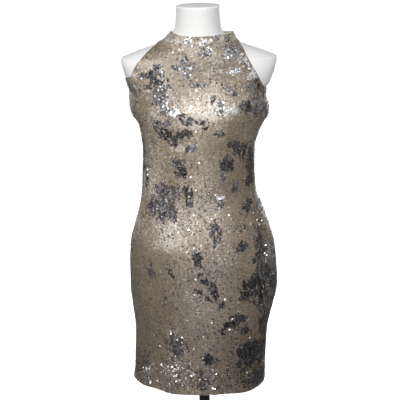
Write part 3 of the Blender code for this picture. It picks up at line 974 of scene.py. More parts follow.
class Tone(Enum):
    """How a brushed-up patch looks: its mean tone, and its tint from steel blue to plum."""

    # The two darkest are used on the skirt, where their darkness is partly painted shade
    INK = (0.14, 0.55)
    NAVY = (0.17, 0.15)
    DARK = (0.28, 0.5)
    PLUM = (0.46, 0.85)
    SLATE = (0.36, 0.4)
    GREY = (0.5, 0.6)
    # Silver is partly a lighter gunmetal and partly painted sheen; white is a painted glint where
    # the lamps would flash
    SILVER = (0.62, 0.45)
    WHITE = (0.95, 0.5)


INK, NAVY, DARK, PLUM, SLATE, GREY, SILVER, WHITE = Tone


class Patch(NamedTuple):
    """An oval in mm where sequins are brushed up, as it is seen from the front.

    Its lean is in degrees: positive raises its right end.
    """

    x: float
    z: float
    half_width: float
    half_height: float
    tone: Tone
    lean: float = 0


# The white patches are painted glints, the silver ones partly painted sheen, and the ink and navy
# ones on the skirt partly painted shade
PATCHES = table(
    Patch,
    # Neckband
    (-66, 1226, 8, 6, WHITE), (-29, 1222, 17, 9, WHITE), (-26, 1212, 12, 4, GREY),
    (12, 1219, 20, 8, WHITE), (48, 1226, 15, 6, SILVER), (72, 1222, 9, 8, SILVER),
    # Chest, left of the middle
    (-103, 1138, 24, 18, DARK), (-101, 1160, 10, 10, DARK), (-135, 1139, 11, 7, GREY),
    (-95, 1092, 24, 21, GREY), (-122, 1113, 12, 8, SLATE), (-77, 1109, 12, 12, SLATE),
    (-76, 1068, 18, 16, SILVER), (-33, 1159, 24, 10, DARK), (-34, 1176, 8, 9, DARK),
    (-29, 1143, 12, 8, SLATE), (-57, 1136, 8, 3, DARK),
    # Chest, right of the middle
    (0, 1118, 27, 5, DARK), (69, 1108, 9, 5, PLUM, -35), (81, 1098, 9, 5, PLUM, -35),
    (15, 1193, 18, 10, SLATE), (84, 1195, 20, 16, SILVER), (107, 1176, 24, 14, SILVER, -40),
    (121, 1160, 17, 15, SILVER, -40), (90, 1148, 19, 8, SILVER), (134, 1138, 15, 15, WHITE),
    (146, 1117, 18, 16, DARK), (130, 1111, 21, 7, GREY),
    # Bust
    (149, 1080, 24, 17, GREY), (152, 1049, 24, 20, GREY), (87, 1060, 13, 11, WHITE),
    (111, 1062, 17, 16, SLATE), (32, 1085, 8, 9, DARK), (50, 1075, 10, 9, GREY),
    (52, 1057, 14, 9, SILVER), (-63, 1054, 16, 8, WHITE), (-43, 1043, 7, 10, GREY),
    (-27, 1032, 19, 10, GREY), (4, 1028, 19, 7, PLUM), (14, 1015, 8, 5, DARK),
    (-102, 1018, 10, 18, GREY), (-78, 1028, 9, 9, SILVER),
    # Under the bust, down to the waist
    (-85, 997, 17, 12, DARK), (-66, 977, 12, 15, SLATE), (-42, 998, 23, 11, SLATE),
    (-21, 961, 16, 8, SILVER), (52, 996, 12, 5, DARK), (86, 964, 19, 11, DARK, -15),
    (113, 940, 36, 20, DARK, -42), (126, 900, 15, 16, DARK), (124, 866, 16, 16, DARK),
    (-50, 924, 22, 13, GREY), (-51, 899, 15, 17, DARK), (65, 915, 14, 21, DARK),
    (58, 885, 7, 13, GREY), (83, 856, 8, 13, GREY),
    # Waist and hips
    (-80, 841, 31, 29, GREY), (-97, 804, 40, 33, GREY), (-37, 848, 17, 14, DARK),
    (-29, 823, 11, 14, DARK), (-68, 787, 7, 16, PLUM), (47, 832, 12, 5, WHITE),
    (48, 813, 11, 14, GREY), (112, 800, 13, 18, DARK), (147, 797, 14, 13, SILVER),
    (36, 751, 17, 21, SLATE), (30, 715, 5, 18, DARK), (143, 718, 12, 30, SLATE),
    (98, 704, 13, 14, DARK), (-11, 680, 12, 22, INK), (160, 630, 26, 30, SLATE),
    (-128, 643, 9, 23, PLUM),
    # Skirt
    (-81, 639, 6, 13, INK, 25), (-6, 638, 7, 6, INK), (8, 621, 24, 10, INK, -35),
    (27, 600, 11, 18, INK), (25, 577, 14, 9, INK), (46, 558, 8, 6, INK),
    (-13, 595, 14, 6, INK, -35), (-94, 569, 7, 11, PLUM), (176, 665, 20, 40, SILVER),
    (148, 668, 15, 30, SLATE), (134, 598, 32, 30, NAVY), (107, 572, 15, 9, DARK),
    (138, 561, 18, 13, NAVY), (175, 583, 20, 50, SLATE), (90, 519, 24, 13, DARK),
    (74, 505, 18, 13, INK), (104, 486, 16, 14, DARK), (52, 488, 8, 8, INK),
    (-69, 453, 22, 29, PLUM), (15, 414, 15, 14, INK), (104, 430, 24, 20, NAVY),
    (102, 396, 23, 24, NAVY), (140, 414, 30, 36, NAVY), (4, 366, 26, 24, GREY),
    (-2, 345, 18, 10, DARK), (158, 490, 17, 60, DARK), (134, 345, 30, 22, DARK),
)


class Spot(NamedTuple):
    """A soft oval in mm, and how strong it is in its middle."""

    x: float
    z: float
    half_width: float
    half_height: float
    strength: float

    def distance(self, x: Array, z: Array) -> Array:
        """How far each place lies from its middle, in half widths and half heights."""
        across = (x - self.x * MM) / (self.half_width * MM)
        up = (z - self.z * MM) / (self.half_height * MM)
        return np.hypot(across, up)


# Where more sequins than elsewhere lie askew and flash: strength is their share
GLINTS = table(
    Spot,
    (-28, 1222, 13, 9, 0.15), (12, 1217, 18, 7, 0.22), (0, 1219, 70, 16, 0.06),
    (15, 1066, 105, 32, 0.02), (92, 752, 40, 9, 0.2), (147, 750, 14, 12, 0.2),
    (125, 717, 12, 12, 0.12), (-51, 754, 72, 44, 0.04), (160, 640, 26, 120, 0.08),
    (-68, 380, 44, 44, 0.24), (150, 770, 24, 34, 0.12), (-158, 380, 30, 54, 0.3),
    (0, 460, 190, 170, 0.03), (84, 1190, 22, 18, 0.1), (-80, 1060, 18, 15, 0.16),
    (0, 362, 190, 48, 0.11), (150, 400, 26, 70, 0.1),
)
# Painted highlights and painted shade: where the champagne sides' tone is raised or lowered to
# stand in for the lamps' light; strength is added to the tone
PAINTED_LIGHT_AND_SHADE = table(
    Spot,
    (15, 1066, 100, 32, 0.24), (18, 1047, 46, 13, 0.35), (-135, 1155, 42, 60, 0.13),
    (10, 1140, 70, 44, -0.17), (-157, 1140, 10, 9, 0.35), (52, 1176, 26, 32, -0.26),
    (107, 1132, 20, 14, 0.2), (116, 1092, 34, 20, 0.18), (-128, 1106, 16, 16, 0.26),
    (-62, 1222, 34, 14, 0.5), (64, 1222, 34, 14, 0.45), (-125, 890, 60, 150, 0.25),
    (10, 866, 66, 48, -0.13), (40, 1012, 110, 28, 0.14), (-100, 1052, 22, 18, 0.25),
    (-50, 1022, 62, 16, 0.3), (-45, 962, 26, 15, 0.32), (15, 818, 34, 34, -0.22),
    (-72, 748, 46, 44, 0.3), (-88, 714, 46, 22, 0.28), (10, 640, 70, 70, -0.12),
    (12, 652, 46, 24, -0.26), (10, 440, 220, 150, -0.16), (15, 420, 70, 130, -0.06),
    (-84, 493, 32, 24, 0.17), (-70, 392, 50, 60, 0.32),
)


class Places(NamedTuple):
    """Where sequins are sewn: angles, heights, metres along and up the cloth, and columns."""

    angles: Array
    heights: Array
    along: Array
    climb: Array
    column: Array


def interp_each(wanted: Array, known: Array, values: Array) -> Array:
    """Straight-line interpolation in every line of a table at once.

    Formula: each line's abscissas are moved by a step longer than any line, so that one call of
    np.interp serves all of them.

    Args:
        wanted: lines by any number of abscissas.
        known: lines by columns, rising along each line.
        values: lines by columns.

    Returns:
        The values at the wanted abscissas.
    """
    low = min(known.min(), wanted.min())
    step = 2 * (max(known.max(), wanted.max()) - low) + 1
    move = (np.arange(len(known)) * step - low)[:, None]
    found = np.interp((wanted + move).ravel(), (known + move).ravel(), values.ravel())
    return found.reshape(wanted.shape)


def run_along(lines: Array) -> Array:
    """The length from the start of each line of points to each of its points."""
    steps = np.linalg.norm(np.diff(lines, axis=1), axis=2)
    return np.pad(np.cumsum(steps, axis=1), ((0, 0), (1, 0)))


@dataclass(frozen=True)
class SequinRows:
    """Rows of sequins sewn on a panel, each row half a sequin over from the last."""

    surface: DrapedSurface
    pitch_along: float = 3.8 * MM
    pitch_up: float = 3.35 * MM
    seam_margin: float = 0.8 * MM
    armhole_margin: float = 1.7 * MM
    zip_margin: float = 3.4 * MM
    end_margin: float = 1.4 * MM

    COLUMNS = 361
    CLIMB_STEPS = 460
    EDGE_STEP = 2 * MM
    ZIP_ANGLE = 0.1

    def on(self, panel: Panel, low: float, high: float) -> Places:
        """The places of a panel's sequins.

        Formula: a row is where the way up the cloth from its lower edge is a whole number of
        pitches. Along it, sequins are one pitch apart, counted from the panel's middle. Those
        nearer to an edge than its margin are left out.

        Args:
            panel: the panel.
            low: the height of its lower edge.
            high: the height of its upper edge.

        Returns:
            The places, in one line each.
        """
        climb = np.linspace(low, high, self.CLIMB_STEPS)
        first, last = panel.edges(climb)
        angles = np.linspace(float(np.min(first)), float(np.max(last)), self.COLUMNS)
        way = run_along(self.surface.plain(*np.broadcast_arrays(angles[:, None], climb)))
        rows = np.arange(self.end_margin, way.max() - self.end_margin, self.pitch_up)
        wanted = np.minimum(rows, way[:, -1:])
        heights = interp_each(wanted, way, np.broadcast_to(climb, way.shape)).T
        along = run_along(self.surface.plain(*np.broadcast_arrays(angles, heights)))
        all_angles = np.broadcast_to(angles, along.shape)
        along = along - interp_each(np.full((len(rows), 1), panel.middle), all_angles, along)
        most = int(np.abs(along).max() / self.pitch_along) + 1
        number = np.arange(-most, most + 1)
        stagger = 0.5 * (np.arange(len(rows)) % 2)[:, None]
        there = (number + stagger) * self.pitch_along
        at_angle = interp_each(there, along, all_angles)
        at_height = interp_each(there, along, heights)
        total = np.interp(at_angle, angles, way[:, -1])
        inside = (there > along[:, :1]) & (there < along[:, -1:])
        inside &= rows[:, None] < total - self.end_margin
        inside &= self.clear_of_edges(panel, at_angle, at_height)
        climbed = np.broadcast_to(rows[:, None], there.shape)
        column = np.broadcast_to(number, there.shape)
        return Places(*(a[inside] for a in (at_angle, at_height, there, climbed, column)))

    def clear_of_edges(self, panel: Panel, angles: Array, heights: Array) -> Array:
        """Whether each place keeps its margin from the panel's seams, armholes and zip."""
        rate, step = self.surface.rate_along(angles, heights), self.EDGE_STEP
        edges, above, below = (panel.edges(heights + move) for move in (0, step, -step))
        clear = np.ones(angles.shape, bool)
        for edge, higher, lower, sign in zip(edges, above, below, (1, -1)):
            moved = np.minimum(np.abs(higher - edge), np.abs(lower - edge))
            slant = np.hypot(1, moved * rate / step)
            if abs(np.mean(edge) % (2 * math.pi) - BACK_MIDDLE) < self.ZIP_ANGLE:
                margin = np.where(heights > ZIP_LOW_HEIGHT, self.zip_margin, self.seam_margin)
            else:
                armhole = (heights > UNDERARM_HEIGHT - step) & (heights < NECK_SEAM_HEIGHT)
                margin = np.where(armhole, self.armhole_margin, self.seam_margin)
            clear &= sign * (angles - edge) * rate > margin * slant
        return clear


@dataclass(frozen=True)
class Brushing:
    """Which sequins are brushed up, and each one's tone and tint.

    The back has the front's patches turned about, and reads the noises some way off. Tones and
    tints run from 0 to 1, and the streaks, clouds and spreads are parts of that.
    """

    edge_noise: SoftNoise = SoftNoise(11, 8 * MM, 22 * MM, 2)
    fine_noise: SoftNoise = SoftNoise(12, 4.5 * MM, 12 * MM)
    island_noise: SoftNoise = SoftNoise(13, 9 * MM, 14 * MM, 2)
    streak_noise: SoftNoise = SoftNoise(14, 4 * MM, 20 * MM, 2)
    broad_noise: SoftNoise = SoftNoise(15, 45 * MM, 60 * MM, 2)
    raggedness: float = 0.5
    fine_raggedness: float = 0.3
    scatter: float = 0.14
    island_level: float = 0.42
    stray_share: float = 0.008
    askew_base: float = 0.024
    glint_reach: float = 1.25
    dark_streaks: float = 0.2
    dark_spread: float = 0.15
    light_tone: float = 0.5
    light_clouds: float = 0.1
    light_streaks: float = 0.08
    light_spread: float = 0.1
    plain_tint: float = 0.5
    tint_spread: float = 0.12
    wrap: float = 45 * MM
    back_shift: float = 18 * MM
    back_turn: float = 1530 * MM
    back_noise_shift: float = 0.31

    def closeness(self, x: Array, z: Array, behind: Array) -> Pair:
        """How far inside the nearest patch each place lies, and which patch that is.

        Formula: one less the distance from the patch's middle, in half widths and half heights
        along its own leaning axes. Past the side seam the distance grows with the way back.
        """
        at_x, at_z, half_width, half_height = np.array([p[:4] for p in PATCHES]).T * MM
        lean = np.radians([p.lean for p in PATCHES])
        dx, dz = x[:, None] - at_x, z[:, None] - at_z
        across = (dx * np.cos(lean) + dz * np.sin(lean)) / half_width
        up = (dz * np.cos(lean) - dx * np.sin(lean)) / half_height
        past = np.clip(behind, 0, None)[:, None] / self.wrap
        inside = 1 - np.sqrt(across**2 + up**2 + past**2)
        best = inside.argmax(axis=1)
        return inside[np.arange(len(x)), best], best

    def read(self, point: Array, places: Places, rng: Chance) -> State:
        """The state of every sequin.

        Args:
            point: where the sequins are.
            places: how far along and up the cloth they are.
            rng: the seeded source of chance.

        Returns:
            up: whether it is brushed up, tone and tint from 0 to 1.
        """
        x, y, z = point.T
        front, front_patch = self.closeness(x, z, y)
        back, back_patch = self.closeness(self.back_shift - x, self.back_turn - z, -y)
        inside = np.maximum(front, back)
        patch = np.where(front >= back, front_patch, back_patch)
        at = places.along + self.back_noise_shift * (y > 0), places.climb
        ragged = self.raggedness * self.edge_noise.at(*at)
        ragged = ragged + self.fine_raggedness * self.fine_noise.at(*at)
        chance = rng.standard_normal((4, len(x)))
        brushed = inside + ragged + self.scatter * chance[3] > 0
        brushed &= self.island_noise.at(*at) < self.island_level
        brushed |= rng.random(len(x)) < self.stray_share + self.askew_share(x, z) - self.askew_base
        patch_tone, patch_tint = np.array([p.tone.value for p in PATCHES])[patch].T
        streak, cloud = self.streak_noise.at(*at), self.broad_noise.at(*at)
        dark = patch_tone + self.dark_streaks * streak + self.dark_spread * chance[0]
        # The champagne sides' tone, with the painted highlights and painted shade added
        light = self.light_tone + self.painted_tone_shift(x, z) + self.light_clouds * cloud
        light = light + self.light_streaks * streak + self.light_spread * chance[1]
        tone = np.where(brushed, dark, light)
        tint = np.where(brushed, patch_tint + self.tint_spread * chance[2], self.plain_tint)
        return {"up": brushed, "tone": np.clip(tone, 0, 1), "tint": np.clip(tint, 0, 1)}

    def painted_tone_shift(self, x: Array, z: Array) -> Array:
        """The tone added to the champagne sides at each place as painted highlights and painted
        shade: a sum of bell curves.
        """
        return sum(painted_tone_shift.strength * np.exp(-(painted_tone_shift.distance(x, z) ** 2)) for painted_tone_shift in PAINTED_LIGHT_AND_SHADE)

    def askew_share(self, x: Array, z: Array) -> Array:
        """The share of sequins that lie askew at each place, more within the glints' ovals."""
        share = np.full(len(x), self.askew_base)
        for glint in GLINTS:
            inside = np.clip(self.glint_reach - glint.distance(x, z), 0, 1)
            share = share + glint.strength * inside
        return share


class Faces(Enum):
    """The finishes of a sequin mesh, by material slot."""

    CHAMPAGNE = 0
    GUNMETAL = 1
    MIRROR = 2


@dataclass(frozen=True)
class SequinCloth:
    """Sequins as thin seven-sided cups joined into one mesh for each stretch of a panel.

    Those that flash face a lamp, which lies lamp_side to the right and lamp_rise up for each
    metre ahead of the dress, or behind it for the back.
    """

    surface: DrapedSurface
    radius: float = 2.4 * MM
    cup: float = 0.18 * MM
    lift: float = 0.45 * MM
    raised_lift: float = 0.7 * MM
    neighbour_step: float = 0.08 * MM
    up_shift: float = 1.2 * MM
    hang: float = math.radians(7.2)
    bright_tone: float = 0.7
    bright_lean: float = math.radians(9)
    sway: float = math.radians(3.6)
    loose: float = math.radians(6.8)
    askew: float = math.radians(20)
    flash_base: float = 0.04
    lamp_side: float = 0.03
    lamp_rise: float = 0.19
    lamp_facing: float = 0.6
    lamp_spread: float = 0.15
    brushing: Brushing = field(default_factory=Brushing)

    SIDES = 7
    CELL_RADIUS = 0.47

    def dress(self, name: str, places: Places, seed: int) -> Object:
        """Sews one sequin at each place.

        Args:
            name: the piece's name.
            places: where the sequins go.
            seed: the seed of their chance turns.

        Returns:
            The piece.
        """
        rng = np.random.default_rng(seed)
        start = self.surface.frames(places.angles, places.heights)
        state = self.brushing.read(start.point, places, rng)
        turned_up = state["up"]
        share = self.brushing.askew_share(*start.point.T[[0, 2]])
        askew = rng.random(len(share)) < share
        lean, swing = (np.tan(turn)[:, None] for turn in self.turns(state, askew, rng))
        out = unit(start.out + lean * start.up + swing * start.right)
        flashing = askew & (rng.random(len(share)) < self.flash_base + share)
        out = self.catch_light(start.out, out, flashing, rng)
        up = unit(start.up - np.sum(start.up * out, axis=1, keepdims=True) * out)
        right = np.cross(up, out)
        spin = rng.uniform(0, 2 * math.pi / self.SIDES, len(share))[:, None]
        cos, sin = np.cos(spin), np.sin(spin)
        right, up = right * cos + up * sin, up * cos - right * sin
        lift = np.where(turned_up, self.raised_lift, self.lift)
        lift = lift + self.neighbour_step * (places.column % 2)
        centre = start.point + lift[:, None] * start.out
        centre = centre + np.where(turned_up, self.up_shift, 0.0)[:, None] * start.up
        face = np.where(turned_up, Faces.GUNMETAL.value, Faces.CHAMPAGNE.value)
        back = np.where(turned_up, Faces.CHAMPAGNE.value, Faces.GUNMETAL.value)
        face = np.where(askew, Faces.MIRROR.value, face)
        return self.join(name, Frames(centre, right, up, out), face, back, state)

    def turns(self, state: State, askew: Array, rng: Chance) -> Pair:
        """How far each sequin leans up and swings right, in radians."""
        lean = np.where(state["up"], -self.hang, self.hang)
        lean = np.where(state["up"] & (state["tone"] > self.bright_tone), self.bright_lean, lean)
        spread = np.where(state["up"], self.loose, self.sway)
        spread = np.where(askew, self.askew, spread)
        chance = rng.standard_normal((2, len(askew)))
        return lean + spread * chance[0], spread * chance[1]

    def catch_light(self, cloth: Array, out: Array, which: Array, rng: Chance) -> Array:
        """Turns some sequins to a lamp before the dress or behind it, where the cloth faces it.

        Args:
            cloth: the cloth's outward directions.
            out: the sequins' own outward directions.
            which: which sequins may be turned.
            rng: the seeded source of chance.

        Returns:
            The sequins' outward directions.
        """
        ahead = np.sign(cloth[:, 1])
        lamp = np.stack([ahead * 0 + self.lamp_side, ahead, ahead * 0 + self.lamp_rise], -1)
        which = which & (np.sum(cloth * unit(lamp), axis=1) > self.lamp_facing)
        turned = unit(lamp + self.lamp_spread * rng.standard_normal(lamp.shape))
        return np.where(which[:, None], turned, out)

    def corner_turns(self) -> Array:
        """The angles of a sequin's corners."""
        return (np.arange(self.SIDES) + 0.5) * 2 * math.pi / self.SIDES

    def join(self, name: str, at: Frames, face: Array, back: Array, state: State) -> Object:
        """One mesh of all sequins.

        Formula: the rim is the centre plus the radius times cosine along right and sine along
        up. The back is a low cone. Each sequin has a cell of the bake map to itself, its face
        in the left half and its back in the right.
        """
        count, sides, turns = len(face), self.SIDES, self.corner_turns()
        ring = np.cos(turns)[None, :, None] * at.right[:, None]
        ring = ring + np.sin(turns)[None, :, None] * at.up[:, None]
        rim = at.point[:, None] + self.radius * ring
        apex = (at.point - self.cup * at.out)[:, None]
        points = np.concatenate([rim, apex], axis=1)
        k = np.arange(sides)
        cone = np.stack([(k + 1) % sides, k, np.full(sides, sides)], -1).ravel()
        corners = np.concatenate([k, cone])
        starts = np.concatenate([[0], sides + 3 * k])
        mesh = bpy.data.meshes.new(name)
        mesh.vertices.add(count * (sides + 1))
        mesh.loops.add(count * len(corners))
        mesh.polygons.add(count * (sides + 1))
        number = np.arange(count)[:, None]
        mesh.vertices.foreach_set("co", points.ravel())
        mesh.loops.foreach_set("vertex_index", (corners + number * (sides + 1)).ravel())
        mesh.polygons.foreach_set("loop_start", (starts + number * len(corners)).ravel())
        slots = np.concatenate([face[:, None], np.repeat(back[:, None], sides, axis=1)], axis=1)
        mesh.polygons.foreach_set("material_index", slots.ravel())
        mesh.update(calc_edges=True)
        for kind in ("tone", "tint"):
            layer = mesh.attributes.new(kind, "FLOAT", "POINT")
            layer.data.foreach_set("value", np.repeat(state[kind], sides + 1))
        self.lay_out(mesh, count, corners)
        for finish in (CHAMPAGNE_FOIL, GUNMETAL_FOIL, MIRROR_FOIL):
            mesh.materials.append(finish.material())
        mesh.shade_flat()
        log.info("%s: %d sequins", name, count)
        return add_piece(name, mesh)

    def lay_out(self, mesh: Mesh, count: int, corners: Array) -> None:
        """Lays the sequins out on the bake map, cell after cell."""
        columns = math.ceil(math.sqrt(count / 2))
        rows = math.ceil(count / columns)
        turns = self.corner_turns()
        ring = self.CELL_RADIUS * np.stack([np.cos(turns), np.sin(turns)], -1)
        local = np.concatenate([ring, [[0, 0]]])[corners]
        local[:, 0] = (local[:, 0] + 0.5) / 2
        local[self.SIDES :, 0] += 0.5
        local[:, 1] += 0.5
        number = np.arange(count)
        cell = np.stack([number % columns, number // columns], -1)
        uv = (cell[:, None] + local[None]) / [columns, rows]
        layer = mesh.uv_layers.new(name=BAKE_MAP)
        layer.uv.foreach_set("vector", uv.ravel())


# The dress


class Edge(NamedTuple):
    """A bound or turned edge: how far inside the cloth's outside it lies, and its section."""

    depth: float
    half_width: float
    half_depth: float

    def sew(self, name: str, path: Array, out: Array, closed: bool = False) -> None:
        """Makes the edge as a tube along a path on the cloth's outside."""
        shape = tube(path - self.depth * out, out, self.half_width, self.half_depth, closed)
        piece(name, shape, BINDING_MESH, merge=True)


@dataclass(frozen=True)
class Dress:
    """The dress: mesh panels, their sequins, bindings, facing and hem. Its zip is made apart, by
    BackZip.
    """

    cloth: DrapedSurface = DrapedSurface(CLOTH_SECTIONS, MAIN_FOLDS + SMALL_CREASES, LEFT_ARM_RIM)
    mesh_depths: tuple[float, float] = (0.3 * MM, 1.6 * MM)
    facing_depths: tuple[float, float] = (2.3 * MM, 3.2 * MM)
    facing_low_inset: float = 1.7 * MM
    facing_rise: float = 1.2 * MM
    panel_rows: int = 120
    front_columns: int = 72
    close_rows: int = 55
    close_below: float = 36 * MM
    close_above: float = 18 * MM
    row_gap: float = 1 * MM
    slit_step: float = 0.001 * MM
    band_rows: int = 8
    band_columns: int = 144
    split_heights: tuple[float, float] = (628 * MM, 902 * MM)
    front_seed: int = 40
    back_seed: int = 50
    band_seed: int = 60
    binding_rows: int = 70
    binding_crowding: float = 1.4
    binding: Edge = Edge(0.8 * MM, 1.6 * MM, 1.0 * MM)
    hem_columns: int = 240
    hem_inset: float = 1.4 * MM
    hem_edge: Edge = Edge(1.1 * MM, 1.9 * MM, 0.9 * MM)

    def build(self) -> None:
        """Makes every piece of the dress but the zip."""
        self.front()
        self.back()
        self.neckband()
        self.bindings()
        self.hem()

    def shell(
        self, panel: Panel, heights: Array, columns: int, depths: tuple[float, float]
    ) -> Pair:
        """A thin closed wall on the cloth's surface between a panel's edges."""
        first, last = (np.broadcast_to(edge, heights.shape) for edge in panel.edges(heights))
        share = np.linspace(0, 1, columns)
        angles = first[:, None] * (1 - share) + last[:, None] * share
        grid = np.broadcast_to(heights[:, None], angles.shape)
        outer, inner = (self.cloth.points(angles, grid, depth) for depth in depths)
        return wall(outer, inner)

    def panel_piece(self, panel: Panel, columns: int) -> Object:
        """The mesh cloth of one long panel, in two walls that meet at the slit's top.

        Its rows lie close together round the armholes' bottoms.
        """
        top = SLIT_TOP_HEIGHT
        even = np.linspace(HEM_HEIGHT, NECK_SEAM_HEIGHT, self.panel_rows)
        close = np.linspace(top - self.close_below, top + self.close_above, self.close_rows)
        even = even[(even < close[0] - self.row_gap) | (even > close[-1] + self.row_gap)]
        heights = np.sort(np.concatenate([even, close]))
        below = np.append(heights[heights < top - 0.1 * self.row_gap], top - self.slit_step)
        above = np.append(top, heights[heights > top + 0.1 * self.row_gap])
        low = self.shell(panel, below, columns, self.mesh_depths)
        high = self.shell(panel, above, columns, self.mesh_depths)
        points = np.concatenate([low[0], high[0]])
        quads = np.concatenate([low[1], high[1] + len(low[0])])
        made = piece(f"{panel.name}_cloth", (points, quads), POWER_MESH)
        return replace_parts(made, panel.node)

    def front(self) -> None:
        """The front and its sequins, in three stretches."""
        cloth = self.panel_piece(FRONT, self.front_columns)
        places = SequinRows(self.cloth).on(FRONT, HEM_HEIGHT, NECK_SEAM_HEIGHT)
        stretch = np.digitize(places.heights, self.split_heights)
        for number, name in enumerate(("lower", "middle", "upper")):
            kept, seed = Places(*(a[stretch == number] for a in places)), self.front_seed + number
            SequinCloth(self.cloth).dress(f"front_sequins_{name}", kept, seed)

    def back(self) -> None:
        """The two back halves and their sequins."""
        for number, panel in enumerate((BACK_LEFT, BACK_RIGHT)):
            cloth = self.panel_piece(panel, self.front_columns // 2)
            places = SequinRows(self.cloth).on(panel, HEM_HEIGHT, NECK_SEAM_HEIGHT)
            seed = self.back_seed + number
            made = SequinCloth(self.cloth).dress(f"{panel.name}_sequins", places, seed)

    def neckband(self) -> None:
        """The neckband, its sequins and the pale facing behind it."""
        low, high = NECK_SEAM_HEIGHT + SEAM_GAP, BAND_TOP_HEIGHT
        heights = np.linspace(low, high, self.band_rows)
        shape = self.shell(NECKBAND, heights, self.band_columns, self.mesh_depths)
        band = piece("neckband_cloth", shape, POWER_MESH)
        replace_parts(band, "neckband")
        places = SequinRows(self.cloth).on(NECKBAND, low, high)
        made = SequinCloth(self.cloth).dress("neckband_sequins", places, self.band_seed)
        low, high = low + self.facing_low_inset, high + self.facing_rise
        heights = np.linspace(low, high, self.band_rows)
        shape = self.shell(NECKBAND, heights, self.band_columns, self.facing_depths)
        facing = piece("neckband_facing_satin", shape, FACING_SATIN)
        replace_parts(facing, "neckband_facing")

    def bindings(self) -> None:
        """The bound edges round both armholes."""
        rise = np.linspace(0, 1, self.binding_rows) ** self.binding_crowding
        for side, bottom in (("left", LEFT_UNDERARM_HEIGHT), ("right", UNDERARM_HEIGHT)):
            heights = bottom + (NECK_SEAM_HEIGHT - bottom) * rise
            front, back = (edge_angles(heights, side, half) for half in ARMHOLES)
            angles = np.concatenate([front[::-1], -back[1:]])
            angles = LEFT_SIDE - angles if side == "left" else angles
            levels = np.concatenate([heights[::-1], heights[1:]])
            path, out = self.cloth.points(angles, levels), self.cloth.outward(angles, levels)
            self.binding.sew(f"armhole_binding_{side}", path, out)

    def hem(self) -> None:
        """The turned edge of the hem."""
        angles = np.linspace(0, 2 * math.pi, self.hem_columns, endpoint=False)
        levels = np.full(self.hem_columns, HEM_HEIGHT + self.hem_inset)
        path, out = self.cloth.points(angles, levels), self.cloth.outward(angles, levels)
        self.hem_edge.sew("hem_turned_edge", path, out, closed=True)


@dataclass(frozen=True)
class BackZip:
    """The coil zip in the centre back, with its slider and pull."""

    cloth: DrapedSurface
    slider_drop: float = 11 * MM
    coil_start: float = 3 * MM
    tooth_pitch: float = 1.5 * MM
    tooth_half_length: float = 1.7 * MM
    tooth_half_width: float = 0.5 * MM
    tooth_half_height: float = 0.45 * MM
    tooth_lift: float = 0.35 * MM
    top_drop: float = 1 * MM
    rows: int = 150
    tape_columns: int = 7
    tape_half_width: float = 3.6 * MM
    tape_rise: float = 0.1 * MM
    tape_depth: float = 0.5 * MM
    placket_start: float = 2 * MM
    placket_offset: float = 2.9 * MM
    placket_edge: Edge = Edge(-0.25 * MM, 0.9 * MM, 0.5 * MM)
    casting_flat: float = 0.02
    casting_rounding: float = 0.15 * MM

    RING_POINTS = 6
    # Each ring's place along a bar, and its size, as shares of the bar's own
    RINGS = ((-1, 0.35), (-0.75, 1), (0.75, 1), (1, 0.35))
    # The faces that close a bar's ends, as numbers of its points
    CAPS = ((0, 1, 2, 3), (0, 3, 4, 5), (21, 20, 19, 18), (23, 22, 21, 18))

    def build(self) -> None:
        """Makes the tape, the coil, the placket edges, the slider and the pull."""
        self.tape()
        self.coil()
        self.placket()
        self.metal("zip_slider", "zip_slider_cast", "root")
        self.metal("zip_pull", "zip_pull_tab", "pull")

    def line(self, heights: Array, offset: float | Array = 0.0) -> Frames:
        """The centre-back line of the cloth, moved sideways by an offset in metres."""
        angles = np.full(heights.shape, BACK_MIDDLE)
        at = self.cloth.frames(angles, heights)
        return at._replace(point=at.point + np.asarray(offset)[..., None] * at.right)

    def tape(self) -> None:
        """The woven tape that the coil is sewn on."""
        heights = np.linspace(ZIP_LOW_HEIGHT, BAND_TOP_HEIGHT - self.top_drop, self.rows)
        offsets = np.linspace(self.tape_half_width, -self.tape_half_width, self.tape_columns)
        offsets, grid = np.broadcast_arrays(offsets, heights[:, None])
        at = self.line(grid, offsets)
        shape = wall(at.point + self.tape_rise * at.out, at.point - self.tape_depth * at.out)
        piece("zip_tape", shape, ZIP_NYLON)

    def coil(self) -> None:
        """The coil, whose turns are short round bars across the tape.

        Formula: each bar is four rings of six points, of which the end ones are narrower.
        """
        top = BAND_TOP_HEIGHT - self.slider_drop
        heights = np.arange(ZIP_LOW_HEIGHT + self.coil_start, top, self.tooth_pitch)
        at = self.line(heights)
        turns = np.arange(self.RING_POINTS) * 2 * math.pi / self.RING_POINTS
        along, size = np.array(self.RINGS).T[:, :, None]
        up = (size * np.cos(turns) * self.tooth_half_width)[None, :, :, None]
        out = (size * np.sin(turns) * self.tooth_half_height)[None, :, :, None]
        bar = (along * self.tooth_half_length)[None, :, :, None] * at.right[:, None, None]
        bar = bar + up * at.up[:, None, None] + (out + self.tooth_lift) * at.out[:, None, None]
        points = at.point[:, None, None] + bar
        one = np.concatenate([grid_quads(len(size), len(turns), closed=True), self.CAPS])
        step = len(size) * len(turns)
        quads = (one + (np.arange(len(heights)) * step)[:, None, None]).reshape(-1, 4)
        piece("zip_coil", (points, quads), ZIP_NYLON, merge=True)

    def placket(self) -> None:
        """The two folded edges of the cloth beside the coil."""
        low, high = ZIP_LOW_HEIGHT - self.placket_start, BAND_TOP_HEIGHT - self.top_drop
        heights = np.linspace(low, high, self.rows)
        for side, sign in (("left", 1), ("right", -1)):
            at = self.line(heights, sign * self.placket_offset)
            self.placket_edge.sew(f"placket_edge_{side}", at.point, at.out)

    def metal(self, node: str, name: str, body: str) -> None:
        """A die-cast part with the frame's own shape, its edges tumbled round."""
        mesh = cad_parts[node].data.copy()
        weld(mesh, self.casting_flat)
        mesh.materials.clear()
        mesh.materials.append(NICKEL.material())
        mesh.shade_smooth()
        made = add_piece(name, mesh, body)
        round_edges(made, self.casting_rounding, segments=2)
        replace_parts(made, node)


# What the dress stands on


